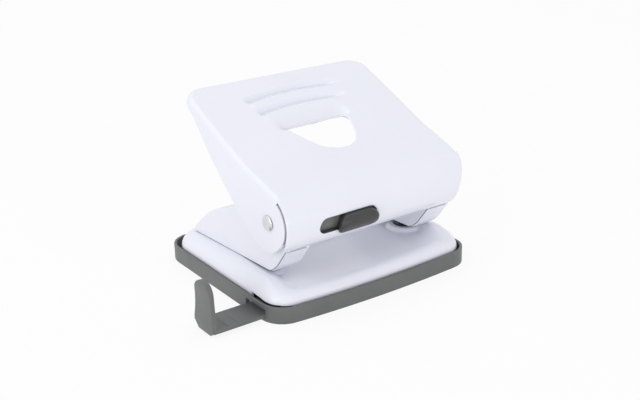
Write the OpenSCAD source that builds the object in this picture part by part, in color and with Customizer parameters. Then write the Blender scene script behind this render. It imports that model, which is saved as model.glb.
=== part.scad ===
// Two-hole desk punch: pressed steel frame and lever over a plastic chip tray.
// X runs along the width, +Y to the back, +Z up. Origin: middle of the resting plane.

/* [Chip tray] */
// Width of the tray over its side walls
tray_w = 113.6; // [100:0.2:130]
// Depth of the tray, without the bow of its front
tray_d = 98.6; // [94:0.2:110]
// Height of the tray rim above the table
tray_h = 7.8; // [7:0.1:9]
// Corner radius of the tray in plan
tray_r = 11.7; // [8:0.1:16]
// How far the front bulges at its middle
front_bow = 1.8; // [0.5:0.1:3]
// Thickness of the tray wall
tray_wall = 1.2; // [0.9:0.1:1.6]
// Thickness of the tray floor
floor_t = 1.8; // [1.5:0.1:2.2]
// Diameter of a rubber pad
pad_d = 10; // [7:0.5:13]
// Height of the foot rim and of the rubber pads below the tray's floor
foot_h = 0.6; // [0.3:0.1:1]

/* [Paper guide] */
// Width of the sliding rail
rail_w = 15; // [12:0.5:17]
// Thickness of the rail
rail_t = 1.5; // [1.2:0.1:1.8]
// Distance of the rail's middle in front of the origin
rail_y = 32.5; // [31:0.5:34]
// How far the tab stands out from the tray wall
guide_out = 24.2; // [10:0.1:40]
// Length of the rail that stays in the tray
guide_in = 84.5; // [60:0.5:88]
// Height of the upright tab
tab_h = 25; // [18:0.5:32]
// Thickness of the upright tab
tab_t = 2.4; // [2:0.1:4]

/* [Base plate] */
// Sheet thickness of the base plate
base_t = 1.5; // [1:0.1:2]
// Gap between the skirt and the tray wall
skirt_gap = 0.5; // [0.3:0.1:0.8]
// Height of the table that the paper slides on
table_z = 13; // [12.5:0.1:13.6]
// Height of the raised rear part at the paper stop
stop_z = 16.5; // [16:0.1:17]
// Width of the rolled shoulder at the sides
shoulder_side = 8.6; // [6:0.1:10]
// Width of the rolled shoulder at the front and back
shoulder_front = 5.6; // [4:0.1:7]
// Fall of the rear part toward the back, in degrees
ramp_deg = 3.15; // [2:0.05:4]

/* [Punching] */
// Distance between the middles of the two holes
hole_spacing = 80; // [76:0.5:84]
// Distance of the holes in front of the origin
punch_y = 18; // [17:0.1:19]
// Distance from the holes to the paper stop
edge_distance = 12; // [11:0.1:13]
// Diameter of a punch pin
punch_d = 6; // [5:0.1:6.4]
// Radial running clearance around a punch pin
punch_fit = 0.05; // [0.03:0.01:0.08]
// Height of a die boss above the table
boss_h = 1.6; // [1:0.1:2]
// Radius of a die boss where it leaves the table
boss_r = 8.8; // [8:0.1:10]
// Outer diameter of a die bush
die_d = 11; // [9:0.1:12]

/* [Punch brackets] */
// Width of a bracket over its two side plates
bracket_w = 13; // [12.6:0.1:13.6]
// Sheet thickness of a bracket
bracket_t = 1.8; // [1.5:0.1:2]
// Radius of the ear around the pivot
ear_r = 8; // [7:0.1:8.6]
// Diameter of a fixing rivet
rivet_d = 4; // [3:0.1:4.4]
// Distance of a bracket's heel behind the origin
heel_y = 37.4; // [34:0.1:38]

/* [Lever] */
// Distance of the pivot in front of the origin
pivot_y = 36.2; // [35.6:0.1:36.8]
// Height of the pivot
pivot_z = 44.5; // [44:0.1:45]
// Room for a washer between a bracket and a cheek of the lever
washer_gap = 2.2; // [1.4:0.1:4]
// Sheet thickness of the lever
lever_t = 1.8; // [1.2:0.1:2]
// Outer radius of the rolled nose
nose_r = 14.6; // [14.4:0.1:15]
// Distance of the panel's outer face from the pivot
panel_v = 12.6; // [12.4:0.1:12.8]
// Length from the pivot to the rear edge, along the panel
lever_len = 82; // [76:0.5:90]
// Slope of the panel at rest, in degrees
lever_slope = 22.1; // [20:0.1:24]
// Angle through which the lever is pressed, in degrees
press_angle = 19; // [18.5:0.1:19.5]
// Radius of the folds along the sides
fold_r = 2.4; // [2.2:0.1:3.4]
// Corner radius of the rear end in plan
rear_r = 9; // [7:0.5:12]
// Depth of the folded lip at the rear
lip_h = 5; // [4.5:0.1:6]
// Width of the slit between the nose and a cheek
slit_w = 1.4; // [1:0.1:1.6]
// Radius of the hand hole's front arc, half of its width
hand_r = 17; // [14:0.5:18]
// Offset of the hand hole from the middle
hand_x = -1; // [-3:0.5:3]
// Diameter of the pivot shaft
shaft_d = 6; // [5:0.1:7]
// Radial running clearance around the pivot shaft
shaft_fit = 0.05; // [0.03:0.01:0.08]
// Diameter of a pivot head
shaft_head_d = 8.4; // [7.8:0.1:9.5]

/* [Lock] */
// Length of the lock slot
lock_slot_l = 30.5; // [29:0.1:32]
// Height of the lock slot
lock_slot_h = 8; // [7:0.1:8.4]
// Distance of the slot's left end from the left bracket
slot_room = 1; // [0.6:0.1:3]
// Length of the thumb knob
knob_l = 22; // [19:0.1:23]
// Travel of the lock
lock_travel = 10; // [9:0.1:10.4]
// Angle of the lock below the horizontal, seen from the pivot
lock_angle = 10.5; // [8:0.1:12]

/* [Return springs] */
// Outer diameter of a return spring
spring_d = 8.7; // [8:0.1:9.4]
// Wire diameter of a return spring
wire_d = 0.9; // [0.6:0.05:1]
// Number of turns of a return spring
spring_turns = 6; // [5:1:7]

/* [Hidden] */

white_paint = [0.92, 0.92, 0.96];
grey_plastic = [0.43, 0.44, 0.43];
bare_steel = [0.75, 0.76, 0.78];
tool_steel = [0.50, 0.51, 0.54];
black_rubber = [0.12, 0.12, 0.12];
brass = [0.78, 0.64, 0.36];

// Radial gap of a piece that is pressed or riveted in
press_gap = 0.02;
// Small gap between pieces that are seated on each other
seat = 0.1;
// Overlap of a cut past the face that it opens
over = 1;
// Length of a cut that runs right through a sheet
through = 20;

half_pitch = hole_spacing / 2;
floor_top = foot_h + floor_t;
tray_in_x = tray_w / 2 - tray_wall;
tray_in_y = tray_d / 2 - tray_wall;
skirt_x = tray_in_x - skirt_gap;
skirt_y = tray_in_y - skirt_gap;
skirt_foot = floor_top + 0.2;
skirt_top = tray_h - 0.3;
stop_y = edge_distance - punch_y;

rim_t = 2.4;

// Guide channel under the raised strip of the floor
rail_foot = foot_h + 1;
rail_play = 0.25;
channel_w = rail_w + 2 * rail_play;
channel_top = rail_foot + rail_t + rail_play;
strip_t = 1.5;
// The channel ends this far before the skirt, clear of its round corner
end_room = 1.8;
channel_end = skirt_x - base_t - strip_t - end_room;
strip_top = channel_top + strip_t;
strip_w = channel_w + 2 * strip_t;
guide_lip = 1.4;
thumb_r = 60;
thumb_depth = 0.5;
tab_top_r = 6.4;
guide_lip_t = 0.8;
mouth_h = 4.4;

// Hinge at the back of the tray
hinge_y = tray_d / 2 - 1.2;
hinge_z = tray_h;
barrel_r = 2.2;
hinge_pin_d = 2.4;
hinge_x = 32;
tray_barrel_l = 7;
base_barrel_l = 6;
barrel_gap = 0.3;
barrel_step = (tray_barrel_l + base_barrel_l + 2 * barrel_gap) / 2;
hinge_reach = tray_barrel_l / 2 + barrel_gap + base_barrel_l - 0.4;

// Heights along the punch axis
web_z = 17.9;
web_top = web_z + bracket_t;
collar_top = web_top + 3.2;
bush_d = punch_d + 2;
spring_foot = collar_top + seat;
spring_head = 35.7;
seat_t = 0.8;
clip_z = spring_head + seat + seat_t + seat;
clip_t = 0.8;
punch_tip = 17.9;
foot_r = 3;
punch_head = pivot_z - foot_r - seat;
neck_d = punch_d - 1;
tip_hollow_r = punch_d * 0.667;
seat_d = spring_d + 0.1;
tip_chamfer = 0.8;

// Bracket plates
plate_out = half_pitch + bracket_w / 2;
plate_in = half_pitch - bracket_w / 2;
inner_gap = bracket_w - 2 * bracket_t;
lever_half = plate_out + washer_gap + lever_t;
washer_d = shaft_d + 5;
toe_y = -29;
toe_z = ramp_z(toe_y);
flange_y = -35.9;
flange_z = 22;
web_front_y = -31;
foot_start = 3;
foot_l = 36;
rivet_u = [10, 31];
// Back edge of a bracket, as shares of the way from the pivot to the heel and of the height between them
back_shape = [[0.220, 1.092], [0.370, 0.970], [0.465, 0.849], [0.588, 0.740],
              [0.728, 0.592], [0.837, 0.421], [0.923, 0.246], [0.989, 0.108]];
// The rear web starts at this point of the back edge
web_first = 2;

// Lever in its own plane: u runs back along the panel, v runs up from the pivot
nose_in = nose_r - lever_t;
nose_fold_r = fold_r + 0.35;
crease_a = asin((panel_v - fold_r) / (nose_r - fold_r));
panel_u = nose_r * cos(asin(panel_v / nose_r)) - 0.25;
slit_a = 100;
nose_edge_a = 214.5;
apron_a = 196;
corner_u = lever_len - rear_r;
cheek_r = nose_in - slit_w;
lap_gap = 0.05;
// Gap between the nose's lower edge and the brackets' front flange, as an angle
stop_gap_a = 2.2;
bar_u = 13.4;
bar_w = 5.6;
bar_t = 2;
hand_rear_u = 43.2;
hand_u = hand_rear_u - 5.7;
hand_rear_r = 47;
groove_u = [58.2, 68.4];
groove_half = [26, 27];
groove_r = 120;
groove_w = 2.4;
groove_depth = 0.7;

// Lock, measured outward from the pivot
lock_plate_t = 1.4;
lock_plate_r = nose_in - 1.6;
lock_plate_h = 10.4;
shield_r = nose_in - 0.3;
shield_t = 1.15;
shield_half_a = 22;
shield_lap = 2;
peg_d = 2.4;
peg_out = 0.5;
lock_play = 0.5;
knob_r = nose_r + 0.3;
neck_r = lock_slot_h / 2 - 0.4;
neck_in = 0.6;
tongue_h = 1.5;
tongue_z = -3;
tongue_end = plate_in - 1.2;
lock_body_end = plate_in - 0.5 - lock_travel;
lock_slot_x = plate_in - slot_room;
neck_x0 = lock_slot_x - lock_play - lock_travel;
lock_right = lock_slot_x - lock_slot_l;
tooth_out = lock_plate_r;
tongue_top_a = atan((-tongue_z - tongue_h / 2) / lock_plate_r);
tongue_foot_a = atan((-tongue_z + tongue_h / 2) / (lock_plate_r - lock_plate_t));
tooth_gap_a = 2;
tooth_a = [
    180 + lock_angle + tongue_foot_a - press_angle + tooth_gap_a,
    180 + lock_angle + tongue_top_a - tooth_gap_a
];

// ---------- helpers ----------

// Points of an arc
function arc(r, a0, a1, n, cx = 0, cy = 0) =
    [for (i = [0:n]) let (a = a0 + (a1 - a0) * i / n) [cx + r * cos(a), cy + r * sin(a)]];

// Half width, half depth, corner radius and bow of a plan outline, anticlockwise
function plan(hx, hy, r, bow, n = 6) = concat(
    arc(r, 180, 270, n, -hx + r, -hy + r),
    [for (i = [1:9]) let (s = -1 + i / 5) [(hx - r) * s, -hy - bow * (1 - s * s)]],
    arc(r, 270, 360, n, hx - r, -hy + r),
    arc(r, 0, 90, n, hx - r, hy - r),
    arc(r, 90, 180, n, -hx + r, hy - r));

// Closed body through equal rings of points
module loft(rings) {
    n = len(rings[0]);
    m = len(rings);
    points = [for (ring = rings) for (p = ring) p];
    sides = [for (j = [0:m - 2]) for (i = [0:n - 1]) let (k = (i + 1) % n)
        each [[j * n + i, (j + 1) * n + i, (j + 1) * n + k], [j * n + i, (j + 1) * n + k, j * n + k]]];
    foot = [[for (i = [0:n - 1]) i]];
    head = [[for (i = [n - 1:-1:0]) (m - 1) * n + i]];
    polyhedron(points = points, faces = concat(foot, sides, head), convexity = 6);
}

// Domed block on the skirt's outline, with a shoulder up to z = top
module dome(top, z0, inset) {
    a_n = 5;
    h = top - skirt_top;
    shoulder = [for (i = [0:a_n]) let (a = 90 * i / a_n)
        dome_ring(inset, 1 - cos(a), skirt_top + h * sin(a) - inset)];
    loft(concat([dome_ring(inset, 0, z0)], shoulder));
}
function dome_ring(inset, s, z) =
    let (dx = inset + shoulder_side * s, dy = inset + shoulder_front * s,
         r = max(tray_r - tray_wall - (dx + dy) / 2, 1.5))
    [for (p = plan(skirt_x - dx, skirt_y - dy, r, front_bow)) [p[0], p[1], z]];

// Extrusion along X of a drawing in the Y-Z plane
module along_x(x0, x1) {
    translate([x0, 0, 0]) rotate([90, 0, 90]) linear_extrude(x1 - x0) children();
}

module rod_x(x0, x1, d, n = 48) {
    translate([x0, 0, 0]) rotate([0, 90, 0]) cylinder(h = x1 - x0, d = d, $fn = n);
}

module at_pivot() {
    translate([0, -pivot_y, pivot_z]) children();
}

// Frame of the lever: Y is u, Z is v
module in_lever() {
    at_pivot() rotate([lever_slope, 0, 0]) children();
}

// Frame of the lock: -Y points outward through the slot
module in_lock() {
    at_pivot() rotate([lock_angle, 0, 0]) children();
}

// Frame of the sloping rear part: Y along it, Z square to it
module on_ramp() {
    translate([0, stop_y, stop_z]) rotate([-ramp_deg, 0, 0]) children();
}

function ramp_z(y) = stop_z - (y - stop_y) * tan(ramp_deg);

module both_sides() {
    children();
    mirror([1, 0, 0]) children();
}

// ---------- tray and guide ----------

module chip_tray() color(grey_plastic) {
    difference() {
        union() {
            difference() {
                linear_extrude(tray_h) polygon(plan(tray_w / 2, tray_d / 2, tray_r, front_bow));
                translate([0, 0, floor_top]) linear_extrude(tray_h)
                    polygon(plan(tray_in_x, tray_in_y, tray_r - tray_wall, front_bow));
                // the floor stands on a rim that runs all round
                translate([0, 0, -over]) linear_extrude(over + foot_h)
                    polygon(plan(tray_w / 2 - rim_t, tray_d / 2 - rim_t, tray_r - rim_t, front_bow));
            }
            translate([-tray_in_x - tray_wall / 2, -rail_y - strip_w / 2, foot_h])
                cube([tray_in_x + tray_wall / 2 + channel_end + strip_t, strip_w, strip_top - foot_h]);
            for (s = [-1, 1]) translate([s * hinge_x, hinge_y, hinge_z]) {
                rod_x(-tray_barrel_l / 2, tray_barrel_l / 2, 2 * barrel_r);
                translate([-tray_barrel_l / 2, 0, -barrel_r - 1])
                    cube([tray_barrel_l, barrel_r - over, barrel_r + 1]);
            }
        }
        // channel of the paper guide, narrowed at its foot by two lips
        translate([-tray_w, -rail_y - channel_w / 2, foot_h + guide_lip_t])
            cube([tray_w + channel_end, channel_w, channel_top - foot_h - guide_lip_t]);
        translate([-tray_in_x, -rail_y - channel_w / 2 + guide_lip, 0])
            cube([tray_in_x + channel_end, channel_w - 2 * guide_lip, channel_top]);
        // mouth in the left wall
        translate([-tray_w, -rail_y - channel_w / 2, foot_h + guide_lip_t])
            cube([tray_w / 2 + tray_wall + 2, channel_w, mouth_h]);
        // pockets of the rubber pads
        pad_places() translate([0, 0, -over]) cylinder(h = over + foot_h + 1, d = pad_d + 2 * seat, $fn = 48);
        // room for the barrels of the base plate
        for (s = [-1, 1]) for (k = [-1, 1])
            translate([s * hinge_x + k * barrel_step, hinge_y, hinge_z])
                cube([base_barrel_l + 2 * barrel_gap, 8, 2 * barrel_r + 0.8], center = true);
        for (s = [-1, 1]) translate([s * hinge_x, hinge_y, hinge_z])
            rod_x(-tray_barrel_l, tray_barrel_l, hinge_pin_d + 2 * shaft_fit);
    }
}

// Two pads behind the guide channel and two near the hinge
module pad_places() {
    for (x = [-1, 1]) for (y = [-rail_y + strip_w / 2 + pad_d / 2 + 1, tray_d / 2 - pad_d - 1])
        translate([x * (tray_w / 2 - pad_d - 2), y, 0]) children();
}

module nonslip_pads() color(black_rubber) {
    pad_places() cylinder(h = foot_h + 1 - seat, d = pad_d, $fn = 48);
}

module paper_guide() color(grey_plastic) {
    tab_x = -tray_w / 2 - guide_out;
    union() {
        translate([tab_x - tab_t / 2, -rail_y - rail_w / 2, rail_foot])
            cube([tab_t / 2 + guide_out + guide_in, rail_w, rail_t]);
        difference() {
            translate([tab_x - tab_t, 0, 0]) along_x(0, tab_t) tab_outline();
            // thumb hollow across the outer face
            translate([tab_x - tab_t - thumb_r + thumb_depth, -rail_y, tab_h * 0.55]) rotate([90, 0, 0])
                cylinder(h = 2 * rail_w, r = thumb_r, center = true, $fn = 180);
        }
        // two raised ticks across the rail
        for (x = [0, 5]) translate([tab_x + 6 + x, -rail_y - rail_w / 2 + 1.5, rail_foot + rail_t - 0.1])
            cube([0.8, rail_w - 3, 0.1 + rail_play / 3]);
    }
}

module tab_outline() {
    r = rail_w / 2;
    translate([-rail_y, 0]) polygon(concat(
        [[-r, 3.2], [-r + 1.6, 0.9], [r - 3.4, 0.9], [r, 4.2]],
        arc(tab_top_r, 0, 180, 24, 0, tab_h - tab_top_r)));
}

// ---------- base plate ----------

module base_solid(z0, inset) {
    union() {
        dome(table_z, z0, inset);
        intersection() {
            dome(stop_z, z0, inset);
            // rear part behind the stop, cut to its slope
            along_x(-tray_w, tray_w) polygon([
                [stop_y + inset, -10], [tray_d, -10],
                [tray_d, ramp_z(tray_d) - inset], [stop_y + inset, stop_z - inset]]);
        }
    }
}

module base_plate() color(white_paint) {
    difference() {
        union() {
            difference() {
                base_solid(skirt_foot, 0);
                translate([0, 0, -0.01]) base_solid(skirt_foot - over, base_t);
            }
            both_sides() translate([half_pitch, -punch_y, table_z - base_t])
                cylinder(h = base_t + boss_h, r1 = boss_r + 0.6, r2 = boss_r - 1, $fn = 64);
            hinge_barrels();
        }
        both_sides() translate([half_pitch, -punch_y, 0])
            cylinder(h = 2 * table_z, d = die_d + 2 * press_gap, $fn = 64);
        both_sides() rivet_places() translate([0, 0, -through / 2])
            cylinder(h = through, d = rivet_d + 2 * press_gap, $fn = 32);
        // room for the tray's hinge barrels and the guide channel
        for (s = [-1, 1]) translate([s * hinge_x, hinge_y, hinge_z])
            cube([tray_barrel_l + 2 * barrel_gap, 2 * barrel_r + 3, 2 * barrel_r + 1.4], center = true);
        for (s = [-1, 1]) translate([s * hinge_x, hinge_y, hinge_z])
            rod_x(-hinge_reach - over, hinge_reach + over, hinge_pin_d + 2 * press_gap);
        translate([-tray_w, -rail_y - strip_w / 2 - 0.6, 0])
            cube([tray_w / 2 + 8, strip_w + 1.2, tray_h + 1.4]);
    }
}

module hinge_barrels() {
    for (s = [-1, 1]) for (k = [-1, 1])
        translate([s * hinge_x + k * barrel_step, hinge_y, hinge_z]) {
            rod_x(-base_barrel_l / 2, base_barrel_l / 2, 2 * barrel_r);
            translate([-base_barrel_l / 2, -barrel_r - 0.6, -barrel_r])
                cube([base_barrel_l, barrel_r, 2 * barrel_r]);
        }
}

module hinge_pins() color(bare_steel) {
    for (s = [-1, 1]) translate([s * hinge_x, hinge_y, hinge_z])
        rod_x(-hinge_reach, hinge_reach, hinge_pin_d);
}

module die_bush() color(tool_steel) {
    translate([half_pitch, -punch_y, table_z - base_t]) difference() {
        cylinder(h = base_t + boss_h, d = die_d, $fn = 64);
        translate([0, 0, -over]) cylinder(h = through, d = punch_d + 2 * punch_fit, $fn = 48);
        translate([0, 0, -over]) cylinder(h = over + base_t, d = punch_d + 1.2, $fn = 48);
    }
}

module left_die_bush() mirror([1, 0, 0]) die_bush();
module right_die_bush() die_bush();

// ---------- punch brackets ----------

// Point i of a bracket's back edge
function back_point(i) = [-pivot_y + back_shape[i][0] * (heel_y + pivot_y),
                          ramp_z(heel_y) + back_shape[i][1] * (pivot_z - ramp_z(heel_y))];

// The same point moved into the bracket by one thickness, square to the edge
function inner_point(i) =
    let (a = back_point(max(i - 1, 0)), b = back_point(min(i + 1, len(back_shape) - 1)))
    back_point(i) + bracket_t * [b[1] - a[1], a[0] - b[0]] / norm(b - a);

// Side outline of a bracket, from the rear foot round the front and over the top
function bracket_outline() = concat(
    [[heel_y - 3.2, ramp_z(heel_y - 3.2)], [toe_y, toe_z]],
    [[toe_y - 2.5, toe_z + 0.6], [toe_y - 4.2, toe_z + 1.7], [flange_y, flange_z]],
    [nose_stop(nose_r), nose_stop(nose_in - 0.4), [-pivot_y - ear_r, pivot_z - 6.5]],
    arc(ear_r, 180, 60, 10, -pivot_y, pivot_z),
    [for (i = [0:len(back_shape) - 1]) back_point(i)],
    [[heel_y, ramp_z(heel_y)]]);

// Point below the nose's lower edge, where the lever comes to rest
function nose_stop(r) = let (a = nose_edge_a + lever_slope + stop_gap_a)
    [-pivot_y + r * cos(a), pivot_z + r * sin(a)];

module bracket_plate(x0, x1) {
    difference() {
        along_x(x0, x1) polygon(bracket_outline());
        at_pivot() rod_x(x0 - over, x1 + over, shaft_d + 2 * shaft_fit);
        // flush with the sloping rear part, and clear of it
        on_ramp() translate([x0 - over, 0, -through])
            cube([x1 - x0 + 2 * over, tray_d, through + seat / 10]);
    }
}

module bracket() color(white_paint) {
    difference() {
        union() {
            bracket_plate(plate_out - bracket_t, plate_out);
            bracket_plate(plate_in, plate_in + bracket_t);
            along_x(plate_in + bracket_t / 2, plate_out - bracket_t / 2) bracket_webs();
            // web that guides the punch
            translate([plate_in + bracket_t / 2, web_front_y, web_z])
                cube([bracket_w - bracket_t, stop_y - web_front_y, bracket_t]);
            // foot that the rivets hold
            on_ramp() translate([plate_in + bracket_t / 2, foot_start, seat / 10])
                cube([bracket_w - bracket_t, foot_l, bracket_t]);
        }
        translate([half_pitch, -punch_y, 0]) cylinder(h = 2 * web_top, d = bush_d + 2 * press_gap, $fn = 48);
        rivet_places() translate([0, 0, -through / 2])
            cylinder(h = through, d = rivet_d + 2 * press_gap, $fn = 32);
    }
}

// Front flange and rear web, drawn in the Y-Z plane
module bracket_webs() {
    polygon([[toe_y - 4.2, toe_z + 1.7], [flange_y, flange_z], nose_stop(nose_r), nose_stop(nose_in - 0.4),
             [flange_y + bracket_t * 1.1, flange_z + 0.7], [toe_y - 2.5, toe_z + 2.2],
             [toe_y - 2.5, toe_z + 0.6]]);
    last = len(back_shape) - 1;
    polygon(concat([for (i = [web_first:last]) back_point(i)],
                   [for (i = [last:-1:web_first]) inner_point(i)]));
}

module left_bracket() color(white_paint) {
    mirror([1, 0, 0]) bracket();
    // tooth behind which the lock's tongue catches
    at_pivot() along_x(-plate_in - bracket_t, -plate_in) difference() {
        polygon(concat([for (a = tooth_a) tooth_out * [cos(a), sin(a)]],
                       [for (a = [tooth_a[1], tooth_a[0]]) (ear_r - 1) * [cos(a), sin(a)]]));
        circle(d = shaft_d + 2 * shaft_fit, $fn = 48);
    }
}

module right_bracket() bracket();

module rivet_places() {
    for (u = rivet_u) on_ramp() translate([half_pitch, u, 0]) children();
}

module bracket_rivets() color(bare_steel) {
    wide_r = rivet_d * 0.85;
    end_r = rivet_d * 0.5;
    head = rivet_d * 0.3;
    both_sides() rivet_places() {
        translate([0, 0, -base_t - seat / 2])
            cylinder(h = base_t + bracket_t + 1.5 * seat, d = rivet_d, $fn = 32);
        translate([0, 0, bracket_t + seat]) cylinder(h = head, r1 = wide_r, r2 = end_r, $fn = 32);
        translate([0, 0, -base_t - head]) cylinder(h = head - seat / 2, r1 = end_r, r2 = wide_r, $fn = 32);
    }
}

module guide_bush() color(brass) {
    translate([half_pitch, -punch_y, 0]) difference() {
        union() {
            translate([0, 0, web_z]) cylinder(h = bracket_t + 0.2, d = bush_d, $fn = 48);
            translate([0, 0, web_top + 0.01]) cylinder(h = collar_top - web_top, d = bush_d + 1, $fn = 48);
        }
        cylinder(h = 2 * collar_top, d = punch_d + 2 * punch_fit, $fn = 48);
    }
}

module left_guide_bush() mirror([1, 0, 0]) guide_bush();
module right_guide_bush() guide_bush();

// ---------- punches ----------

module punch_pin() color(tool_steel) {
    translate([half_pitch, -punch_y, 0]) difference() {
        union() {
            translate([0, 0, punch_tip]) cylinder(h = clip_z - punch_tip, d = punch_d, $fn = 48);
            translate([0, 0, clip_z - 0.05]) cylinder(h = clip_t + 0.2, d = neck_d, $fn = 48);
            translate([0, 0, clip_z + clip_t + 0.1])
                cylinder(h = punch_head - tip_chamfer - clip_z - clip_t - 0.1, d = punch_d, $fn = 48);
            translate([0, 0, punch_head - tip_chamfer])
                cylinder(h = tip_chamfer, d1 = punch_d, d2 = punch_d - 2 * tip_chamfer, $fn = 48);
        }
        // hollow ground cutting end
        translate([0, 0, punch_tip - tip_hollow_r * 0.66]) rotate([0, 90, 0])
            cylinder(h = 3 * punch_d, r = tip_hollow_r, center = true, $fn = 64);
    }
}

module left_punch_pin() mirror([1, 0, 0]) punch_pin();
module right_punch_pin() punch_pin();

module spring_seat() color(bare_steel) {
    translate([half_pitch, -punch_y, spring_head + seat]) difference() {
        cylinder(h = seat_t, d = seat_d, $fn = 48);
        translate([0, 0, -over]) cylinder(h = through, d = punch_d + 0.1, $fn = 48);
    }
}

module left_spring_seat() mirror([1, 0, 0]) spring_seat();
module right_spring_seat() spring_seat();

module circlip() color(tool_steel) {
    translate([half_pitch, -punch_y, clip_z]) difference() {
        cylinder(h = clip_t, d = seat_d, $fn = 48);
        translate([0, 0, -over]) cylinder(h = through, d = neck_d + 0.1, $fn = 48);
        translate([-neck_d / 2 + 0.6, 0, -over]) cube([neck_d - 1.2, seat_d, through]);
    }
}

module left_circlip() mirror([1, 0, 0]) circlip();
module right_circlip() circlip();

// Coil spring: one tube swept along a helix
module return_spring() color(bare_steel) {
    steps = 8 * spring_turns;
    sides = 6;
    r = (spring_d - wire_d) / 2;
    rise = spring_head - spring_foot - wire_d;
    pitch = rise / spring_turns;
    lean = atan2(pitch, 2 * PI * r);
    rings = [for (i = [0:steps]) let (a = 360 * i / 8, z = spring_foot + wire_d / 2 + rise * i / steps)
        [for (k = [sides - 1:-1:0])
            let (b = 360 * k / sides, out = r + wire_d / 2 * cos(b), s = wire_d / 2 * sin(b),
                 t = s * sin(lean))
            [out * cos(a) + t * sin(a), out * sin(a) - t * cos(a), z + s * cos(lean)]]];
    echo(least_gap_of_turns = pitch - wire_d);
    translate([half_pitch, -punch_y, 0]) loft(rings);
}

module left_return_spring() mirror([1, 0, 0]) return_spring();
module right_return_spring() return_spring();

// ---------- lever ----------

// Right half of the folded section: [x, depth below the outer face]
function fold_half(r, n) = let (x0 = lever_half - r, r_in = r - lever_t) concat(
    [for (i = [0:n]) let (f = 90 * i / n) [x0 + r * sin(f), r * (1 - cos(f))]],
    [[lever_half, lip_h], [lever_half - lever_t, lip_h]],
    [for (i = [n:-1:0]) let (f = 90 * i / n) [x0 + r_in * sin(f), r - r_in * cos(f)]]);

function fold_section(r, facets) = let (right = fold_half(r, facets), n = len(right))
    concat(right, [for (i = [n - 1:-1:0]) [-right[i][0], right[i][1]]]);

// Panel and top of the nose, with both sides folded down; each ends inside the other's sheet
module shell() {
    rotate([90, 0, 90]) rotate([0, 0, crease_a]) rotate_extrude(angle = slit_a - crease_a, $fn = 180)
        polygon([for (p = fold_section(nose_fold_r, 6)) [nose_r - p[1], p[0]]]);
    translate([0, corner_u, 0]) rotate([90, 0, 0]) linear_extrude(corner_u - panel_u)
        polygon([for (p = fold_section(fold_r, 5)) [p[0], panel_v - p[1]]]);
}

// Flat side plate: a disc round the pivot that runs out into a long tapering blade under the fold
module cheek() {
    lap_v = panel_v - (fold_r + lip_h) / 2;
    along_x(lever_half - lever_t + press_gap, lever_half - press_gap) polygon(concat(
        [[corner_u - 1, lap_v], [corner_u - 1, panel_v - lip_h + 0.4], [66, 6.2], [48.5, -0.8], [36, -5.6],
         [23.3, -10.4], [13, -14.2], [6, -16], [0, -16], [-4.4, -14.4]],
        arc(cheek_r, 236, slit_a - 3, 14),
        [[6, lap_v]]));
}

// Drawing of a ring round the pivot, between two angles
module ring_sector(r_in, r_out, a0, a1) {
    intersection() {
        difference() {
            circle(r = r_out, $fn = 180);
            circle(r = r_in, $fn = 180);
        }
        polygon(concat([[0, 0]], arc(2 * r_out, a0, a1, 6)));
    }
}

// Front of the nose: a band of the given half width, set in by a hair from its faces
module nose_band(a0, a1, half, hair) {
    along_x(-half, half) ring_sector(nose_in + hair, nose_r - hair, a0, a1);
}

// Section of the rear lip: distance from the corner's middle, and v
function lip_section() = concat(
    [[0, panel_v]],
    arc(fold_r, 90, 0, 5, rear_r - fold_r, panel_v - fold_r),
    [[rear_r, panel_v - lip_h], [rear_r - lever_t, panel_v - lip_h]],
    arc(fold_r - lever_t, 0, 90, 5, rear_r - fold_r, panel_v - fold_r),
    [[0, panel_v - lever_t]]);

module rear_lip() {
    span = lever_half - rear_r;
    translate([0, corner_u, 0]) {
        along_x(-span, span) polygon(lip_section());
        both_sides() translate([span, 0, 0]) rotate_extrude(angle = 90, $fn = 48) polygon(lip_section());
    }
}

module hand_hole() {
    translate([hand_x, 0, panel_v - through / 2]) intersection() {
        translate([0, hand_u, 0]) cylinder(h = through, r = hand_r, $fn = 96);
        translate([0, hand_rear_u - hand_rear_r, 0]) cylinder(h = through, r = hand_rear_r, $fn = 180);
    }
}

module grip_groove(u, half) {
    a = asin(half / groove_r);
    translate([0, u - groove_r, panel_v]) rotate([0, 0, 90 - a])
        rotate_extrude(angle = 2 * a, $fn = 180) translate([groove_r, 0])
            polygon([[-groove_w / 2, 0.3], [-groove_w / 2, 0], [-groove_w / 4, -groove_depth],
                     [groove_w / 4, -groove_depth], [groove_w / 2, 0], [groove_w / 2, 0.3]]);
}

module lever_handle() color(white_paint) {
    difference() {
        union() {
            in_lever() {
                shell();
                nose_band(slit_a - 3, slit_a + 3, lever_half - fold_r - 0.5, lap_gap);
                nose_band(slit_a + 0.3, apron_a, lever_half, 0);
                nose_band(apron_a - 3, nose_edge_a, lever_half - 4, lap_gap);
                both_sides() cheek();
                rear_lip();
            }
        }
        at_pivot() both_sides() rod_x(lever_half - 2 * lever_t, lever_half + over, shaft_d + 2 * shaft_fit);
        in_lever() {
            hand_hole();
            for (i = [0, 1]) grip_groove(groove_u[i], groove_half[i]);
        }
        in_lock() lock_slot();
    }
}

module lock_slot() {
    r = lock_slot_h / 2;
    translate([0, r - nose_r, 0]) rotate([90, 0, 0]) {
        for (x = [-lock_slot_x + r, -lock_right - r])
            translate([x, 0, 0]) cylinder(h = nose_r, r = r, $fn = 48);
        translate([-lock_slot_x + r, -r, 0]) cube([lock_slot_l - 2 * r, 2 * r, nose_r]);
    }
}

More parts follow.
